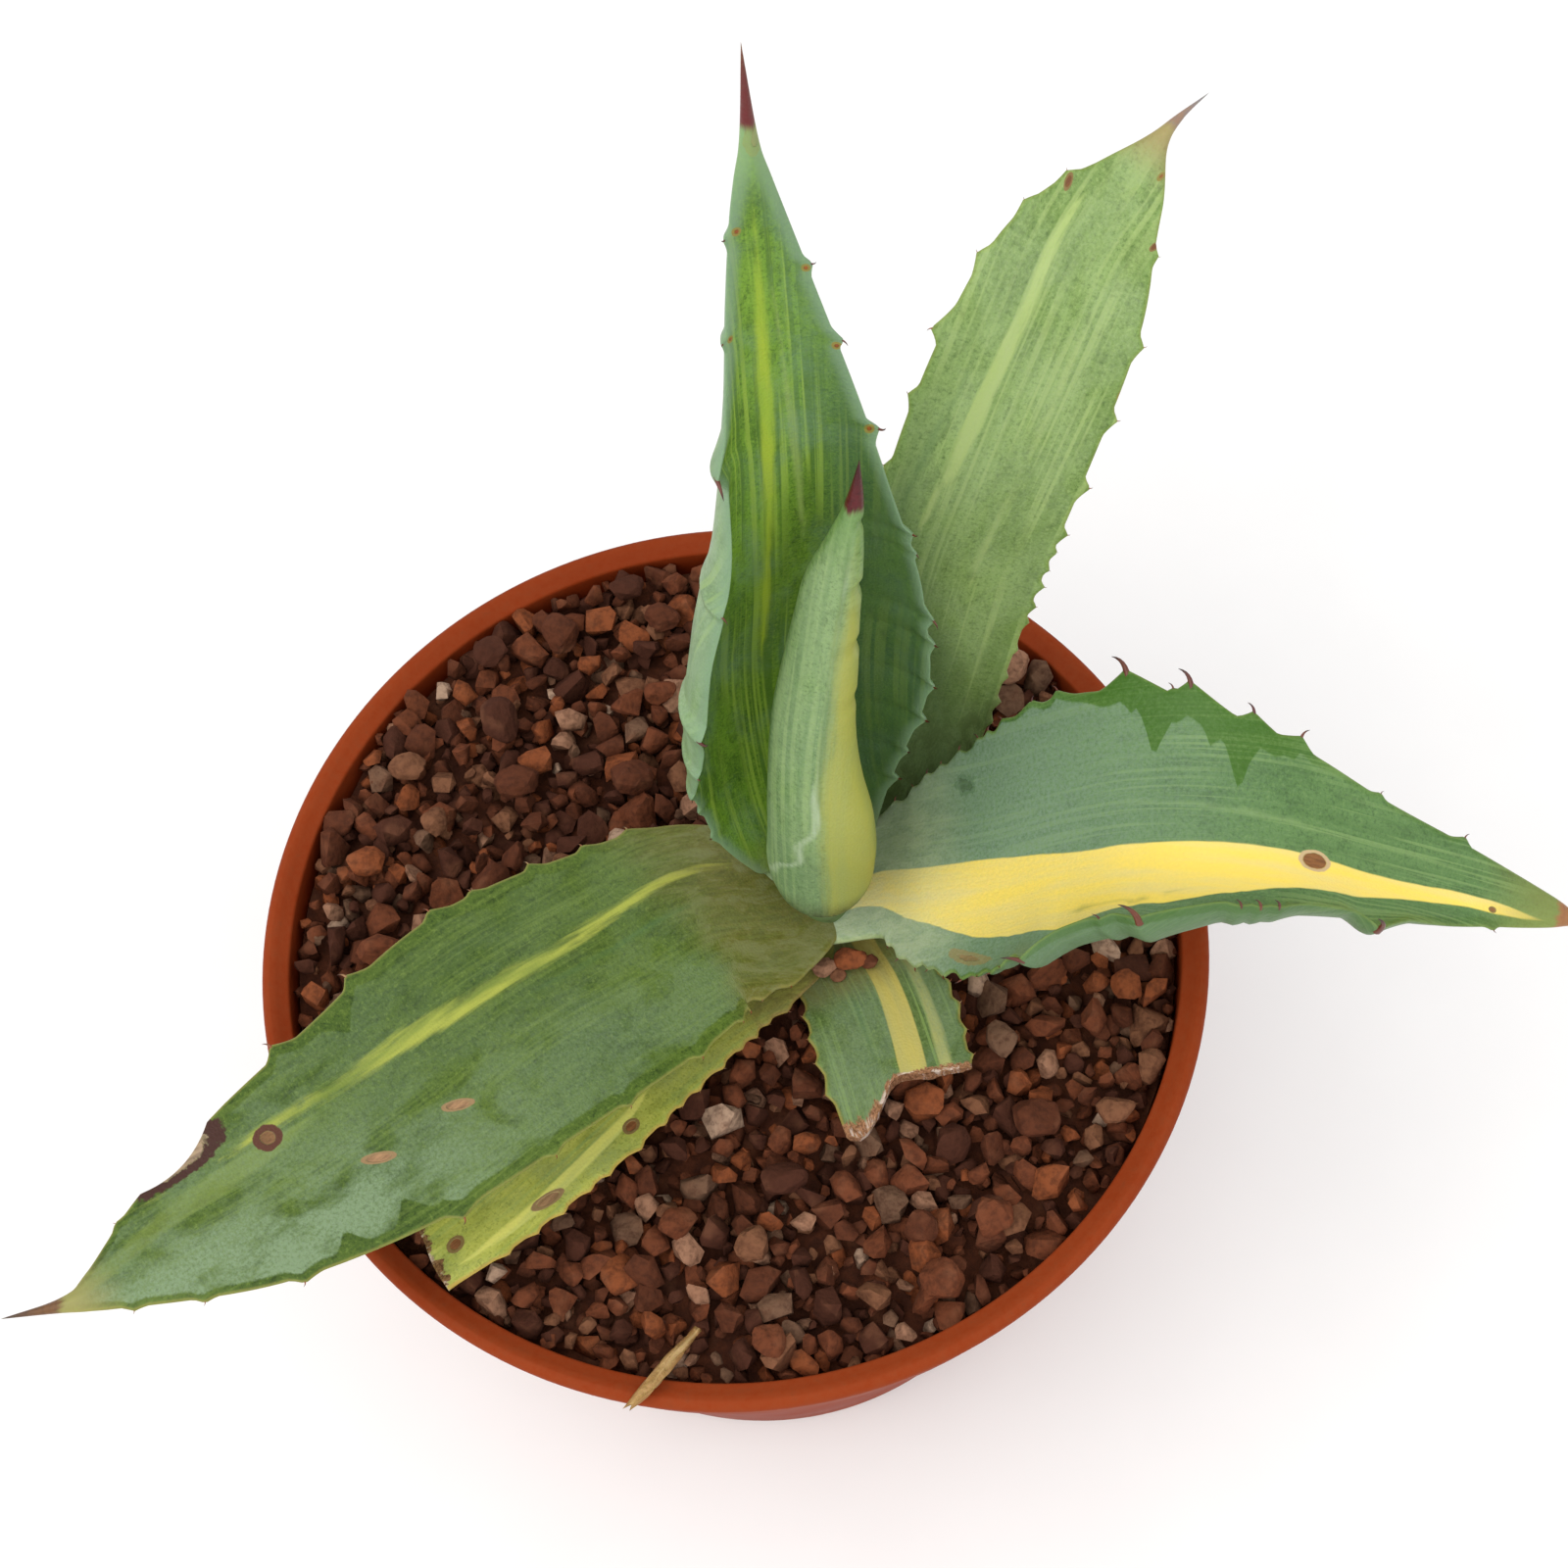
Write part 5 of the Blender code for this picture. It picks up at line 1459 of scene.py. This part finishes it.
def stemMaterial():
    material, tree, shader = newMaterial("stemTissue", 0.55)
    place = objectPlace(tree)
    mottle = clouds(tree, place, 420.0, 4.0, 0.65)
    height = split(tree, place)[2]
    uneven = plus(tree, height, product(tree, mottle, 0.006))
    aged = fit(tree, uneven, (rimHeight + 1) * mm, (rimHeight + 9) * mm, 1.0, 0.0)
    skin = blend(tree, aged, stemShape["tone"], stemShape["old"])
    skin = blend(tree, fit(tree, mottle, 0.5, 0.75, 0.0, 0.6), skin, colour(0.05, 0.03, 0.015))
    dress(tree, shader, skin, mottle, 0.5, 0.0003)
    return material


def buildStem():
    s = stemShape
    knots = ((s["bottom"], s["radius"] - 3), (-18, s["radius"] - 1), (-8, s["radius"]), (-2, s["radius"] - 1),
             (1, s["radius"] - 1.4),
             (4, s["topRadius"] + 0.6), (s["top"] - 0.8, s["topRadius"]), (s["top"], s["topRadius"] - 0.6))
    heights = np.arange(s["bottom"], s["top"], 0.3)
    radii = np.interp(heights, [k[0] for k in knots], [k[1] for k in knots])
    phase = (heights - s["bottom"]) / s["ringGap"] % 1
    radii = radii - s["ringDepth"] * np.exp(-((phase - 0.5) / 0.12) ** 2)
    outline = [(0, s["bottom"])] + list(zip(radii, heights)) + [(0, s["top"])]
    mesh = turned("stem_fine", outline, s["steps"])
    centre = Vector((*s["centre"], rimHeight)) * mm
    for vertex in mesh.vertices:
        uneven = 1 + 0.03 * noise.noise(vertex.co * 260)
        vertex.co = Vector((vertex.co.x * uneven, vertex.co.y * uneven, vertex.co.z)) + centre
    made = addObject("stem_fine", mesh, (stemMaterial(),))
    finishPiece(made, ("stem",))
    return made


plant.append(buildStem())
print("pot and stem ready")


def lavaMaterial(name, toned):
    material, tree, shader = newMaterial(name, 0.9, Specular_IOR_Level=0.10)
    place = objectPlace(tree)
    tones = gravelLook["tones"]
    if toned:
        tone = pieceValue(tree, "chipTone")
    else:
        # The grit takes only the darkest chip tones, partly its own colour and partly painted shade for the
        # gaps between the chips.
        tone = fit(tree, clouds(tree, place, 420.0, 3.0), 0.35, 0.65, 0.0, 0.25)
    ramp = put(tree, "ShaderNodeValToRGB", {0: tone})
    stops = ramp.color_ramp
    stops.interpolation = "CONSTANT" if toned else "LINEAR"
    stops.elements[0].color = tones[0][1]
    stops.elements[1].position, stops.elements[1].color = tones[1]
    for position, shade in tones[2:]:
        stops.elements.new(position).color = shade
    made = useGroup(tree, lavaSkin, Color=ramp.outputs[0], Vector=place, DarkTone=gravelLook["darkTone"],
                    DustTone=gravelLook["dustTone"], Wear=gravelLook["wear"], Dust=gravelLook["dust"])
    dress(tree, shader, made["Color"], made["Height"], 0.7, 0.00035)
    return material


def makeGravelTree():  # chips turned at random on points spread over a surface, clear of the plant
    tree, given, out = newTree("lavaGravel", {
        "Chips": "NodeSocketCollection", "Plant": "NodeSocketCollection", "Spacing": 0.003, "Smallest": 0.003,
        "Largest": 0.005, "Lift": 0.001, "Clearance": 0.5, "Seed": "NodeSocketInt",
        "Material": "NodeSocketMaterial",
    })
    values = {"Mesh": given["Geometry"], "Distance Min": given["Spacing"], "Density Max": 400000.0,
              "Seed": given["Seed"]}
    spread = put(tree, "GeometryNodeDistributePointsOnFaces", values,
                 distribute_method="POISSON").outputs["Points"]

    def anyValue(low, high, seedShift, kind="FLOAT"):
        seed = plus(tree, given["Seed"], float(seedShift))
        node = put(tree, "FunctionNodeRandomValue", {"Seed": seed}, data_type=kind)
        for label, value in (("Min", low), ("Max", high)):
            socket = next(s for s in node.inputs if s.name == label and s.enabled)
            if isinstance(value, bpy.types.NodeSocket):
                tree.links.new(value, socket)
            else:
                socket.default_value = value
        return next(s for s in node.outputs if s.enabled)

    sized = keepNamed(tree, spread, "chipSize", anyValue(given["Smallest"], given["Largest"], 1))
    size = readNamed(tree, "chipSize")
    toned = keepNamed(tree, sized, "chipTone", anyValue(0.0, 1.0, 2))
    lift = combine(tree, z=product(tree, anyValue(0.0, 1.0, 3), given["Lift"]))
    lifted = put(tree, "GeometryNodeSetPosition", {"Geometry": toned, "Offset": lift}).outputs[0]
    plantInfo = put(tree, "GeometryNodeCollectionInfo", {"Collection": given["Plant"]},
                    transform_space="RELATIVE").outputs[0]
    plantMesh = put(tree, "GeometryNodeRealizeInstances", {0: plantInfo}).outputs[0]
    near = put(tree, "GeometryNodeProximity", {0: plantMesh}, target_element="FACES").outputs["Distance"]
    tooNear = calc(tree, "LESS_THAN", near, product(tree, size, given["Clearance"]))
    clear = put(tree, "GeometryNodeDeleteGeometry", {"Geometry": lifted, "Selection": tooNear},
                domain="POINT").outputs[0]
    values = {"Collection": given["Chips"], "Separate Children": True, "Reset Children": True}
    chips = put(tree, "GeometryNodeCollectionInfo", values).outputs[0]
    turn = anyValue((0.0, 0.0, 0.0), (6.283, 6.283, 6.283), 4, "FLOAT_VECTOR")
    pick = anyValue(0, gravelLook["variants"] - 1, 5, "INT")
    values = {"Points": clear, "Instance": chips, "Pick Instance": True, "Instance Index": pick,
              "Rotation": turn, "Scale": size}
    placed = put(tree, "GeometryNodeInstanceOnPoints", values).outputs[0]
    real = put(tree, "GeometryNodeRealizeInstances", {0: placed}).outputs[0]
    values = {"Geometry": real, "Material": given["Material"]}
    finished = put(tree, "GeometryNodeSetMaterial", values).outputs[0]
    tree.links.new(finished, out["Geometry"])
    return tree


def randomWay(rng):
    return Vector((rng.gauss(0, 1), rng.gauss(0, 1), rng.gauss(0, 1))).normalized()


def chipMesh(name, rng, corners):  # a tumbled chip about 1 across: the hull of points on a squashed ball
    bm = bmesh.new()
    squash = (1.0, rng.uniform(0.72, 0.95), rng.uniform(0.55, 0.8))
    for _ in range(corners):
        spot = randomWay(rng) * rng.uniform(0.42, 0.52)
        bm.verts.new([spot[k] * squash[k] for k in range(3)])
    hull = bmesh.ops.convex_hull(bm, input=bm.verts)
    inner = [item for item in hull["geom_interior"] if isinstance(item, bmesh.types.BMVert)]
    bmesh.ops.delete(bm, geom=inner, context="VERTS")
    bmesh.ops.recalc_face_normals(bm, faces=bm.faces)
    roundFaces(bm, gravelLook["sharpAngle"])
    return meshFrom(bm, name)


def bedTop(x, y):  # height of the gravel bed over the rim, in mm
    azimuth = math.radians(gravelLook["bedTiltAzimuth"])
    along = (x * math.cos(azimuth) + y * math.sin(azimuth)) / potShape["rimRadius"]
    return gravelLook["bedTilt"] * along - gravelLook["bedDrop"]


def discMesh(name, reach, depth):
    bm = bmesh.new()
    ring = []
    for i in range(gravelLook["discSteps"]):
        angle = 2 * math.pi * i / gravelLook["discSteps"]
        x, y = reach * math.cos(angle), reach * math.sin(angle)
        ring.append(bm.verts.new((x * mm, y * mm, (rimHeight + bedTop(x, y) - depth) * mm)))
    bm.faces.new(ring)
    return meshFrom(bm, name)


def buildGravel():
    rng = random.Random(gravelLook["seed"])
    chips = bpy.data.collections.new("chips")
    clearOf = bpy.data.collections.new("clearOf")
    collection.children.link(chips)
    collection.children.link(clearOf)
    for k in range(gravelLook["variants"]):
        chips.objects.link(bpy.data.objects.new(f"chip{k}", chipMesh(f"chip{k}", rng, gravelLook["corners"])))
    for piece in plant:
        clearOf.objects.link(piece)
    tree = makeGravelTree()
    material = lavaMaterial("lavaChips", True)
    for layer, (depth, spacing, low, high, reach, lift, seed) in gravelLook["layers"].items():
        holder = addObject(layer + "Bed", discMesh(layer + "Bed", reach, depth))
        mesh = grow(holder, tree, {
            "Chips": chips, "Plant": clearOf, "Spacing": spacing * mm, "Smallest": low * mm,
            "Largest": high * mm, "Lift": lift * mm,
            "Clearance": gravelLook["clearance"], "Seed": seed, "Material": material,
        })
        bpy.data.objects.remove(holder)
        made = addObject(f"{layer}_gravel", mesh)
        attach(made, bodyName)
        print("made", made.name, len(mesh.polygons), "faces")
    for piece in list(chips.objects):
        bpy.data.objects.remove(piece)
    bpy.data.collections.remove(chips)
    bpy.data.collections.remove(clearOf)
    return material


chipLook = buildGravel()


# Planes cut each large chip. Fill is how far its uncut parts reach, as a share of its box.
stoneLook = dict(facets=11, cut=0.74, steepest=0.55, fill=1.12, pitDepth=0.07, pitReach=0.24, sharpAngle=17)


def buildStones(material):  # the larger chips, one in each CAD chip's place
    look = stoneLook
    bm = bmesh.new()
    tones = []
    names = sorted(name for name in frame["nodes"] if name.startswith("lava_stone_"))
    spans = [(*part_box(name), None) for name in names]
    for x, y, height, size, heartTone in gravelLook["heart"]:
        middle = Vector((x, y, height + rimHeight)) * mm
        reach = Vector((0.5, 0.40, 0.30)) * size * mm
        spans.append((middle - reach, middle + reach, heartTone))
    for index, (low, high, ownTone) in enumerate(spans):
        rng = random.Random(gravelLook["seed"] * 10 + index)
        new = bmesh.ops.create_icosphere(bm, subdivisions=3, radius=1.0)["verts"]
        shift = Vector((rng.uniform(-9, 9), rng.uniform(-9, 9), rng.uniform(-9, 9)))
        planes = [randomWay(rng) for _ in range(look["facets"])]
        tone = rng.random() if ownTone is None else ownTone
        size = (high - low) / 2
        for vertex in new:
            way = vertex.co.normalized()
            reach = 1.0
            for plane in planes:
                facing = way.dot(plane)
                if facing > 0:
                    reach = min(reach, look["cut"] / max(facing, look["steepest"]))
            reach *= 1 + 0.05 * noise.noise(way * 2.4 + shift) + 0.02 * noise.noise(way * 7 + shift)
            pit = noise.voronoi(way * 2.6 + shift)[0][0]
            reach -= look["pitDepth"] * max(0.0, look["pitReach"] - pit) / look["pitReach"]
            vertex.co = (low + high) / 2 + Vector([way[k] * reach * size[k] * look["fill"] for k in range(3)])
            tones.append(tone)
    roundFaces(bm, stoneLook["sharpAngle"])
    mesh = meshFrom(bm, "lavaStones")
    storeValues(mesh, "chipTone", tones)
    finishPiece(addObject("lava_stones", mesh, (material,)), names)


buildStones(chipLook)


def buildBed():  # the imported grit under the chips
    gap = gravelLook["gap"]
    top = rimHeight - gravelLook["bedDrop"] - gravelLook["sink"]
    brim = potShape["rimRadius"] - potShape["lipWidth"] - gap
    bandFoot = potShape["height"] - potShape["bandHeight"]
    floor = potShape["floor"]

    def inside(height):
        return outerWall(height) - potShape["wall"] - gap

    outline = [(0, floor + gap), (inside(floor) - 1.5, floor + gap), (inside(floor + 1.5), floor + 1.8)]
    outline += [(inside(bandFoot - 0.3), bandFoot - 0.3), (brim, bandFoot + 2.3), (brim, top)]
    outline += [(brim * k / 30, top) for k in range(29, 0, -1)] + [(0, top)]
    mesh = turned("bed", outline, 120)
    for vertex in mesh.vertices:
        if vertex.co.z > (top - 0.2) * mm:
            x, y = vertex.co.x / mm, vertex.co.y / mm
            bump = gravelLook["gritBump"] * noise.noise(Vector((x, y, 0.0)) * gravelLook["gritScale"])
            vertex.co.z = (rimHeight + bedTop(x, y) - gravelLook["sink"] + bump) * mm
    finishPiece(addObject("lava_grit", mesh, (lavaMaterial("lavaGrit", False),)), ("lava_bed",))


buildBed()
print("gravel ready")

# The stage: a pale floor under soft light, and the camera above and in front of the pot
stageLook = dict(
    floor=colour(0.93, 0.93, 0.93), floorShade=colour(0.915, 0.915, 0.915), world=0.81, lens=54.0,
    elevation=1.1718133, distance=298.363, yaw=0.0317322, pitch=-0.0573417, roll=0.1628074,
    lamps=dict(  # place in metres, size, power and tint; both are aimed at the same place
        keyLamp=((-0.36, -0.24, 0.78), 1.1, 5.0, (1.0, 0.98, 0.95)),
        fillLamp=((0.5, -0.4, 0.6), 0.8, 1.1, (0.95, 0.98, 1.0)),
    ),
    aim=(0, 0, 0.1),
)


def addLamp(name, place, size, power, tint):
    lamp = bpy.data.lights.new(name, "AREA")
    lamp.shape = "DISK"
    lamp.size = size
    lamp.energy = power
    lamp.color = tint
    made = bpy.data.objects.new(name, lamp)
    made.location = place
    made.rotation_euler = (Vector(stageLook["aim"]) - Vector(place)).to_track_quat("-Z", "Y").to_euler()
    collection.objects.link(made)


def buildStage():
    material, tree, shader = newMaterial("paleFloor", 0.9)
    place = objectPlace(tree)
    shade = blend(tree, fit(tree, clouds(tree, place, 30.0, 3.0), 0.3, 0.7), stageLook["floor"],
                  stageLook["floorShade"])
    tree.links.new(shade, shader.inputs["Base Color"])
    bm = bmesh.new()
    bmesh.ops.create_grid(bm, x_segments=2, y_segments=2, size=3.0)
    addObject("floor", meshFrom(bm, "floor"), (material,))
    for name, (place, size, power, tint) in stageLook["lamps"].items():
        addLamp(name, place, size, power, tint)
    world = bpy.data.worlds.new("studio")
    world.use_nodes = True
    background = world.node_tree.nodes["Background"]
    background.inputs["Color"].default_value = colour(1.0, 1.0, 1.0)
    background.inputs["Strength"].default_value = stageLook["world"]
    scene.world = world


def buildCamera():
    s = stageLook
    back = Vector((0, -math.cos(s["elevation"]), math.sin(s["elevation"])))
    right = Vector((1, 0, 0))
    rows = Matrix((right, back.cross(right), back))
    turns = (("roll", "Z"), ("pitch", "X"), ("yaw", "Y"))
    roll, pitch, yaw = (Matrix.Rotation(s[label], 3, axis) for label, axis in turns)
    camera = bpy.data.cameras.new("camera")
    camera.lens = s["lens"]
    camera.sensor_width = 36.0
    camera.clip_start = 0.01
    camera.dof.use_dof = False
    made = bpy.data.objects.new("camera", camera)
    place = (back * s["distance"] + Vector((0, 0, rimHeight))) * mm
    made.matrix_world = Matrix.Translation(place) @ (roll @ pitch @ yaw @ rows).transposed().to_4x4()
    collection.objects.link(made)
    scene.camera = made


buildStage()
buildCamera()
print("stage ready")
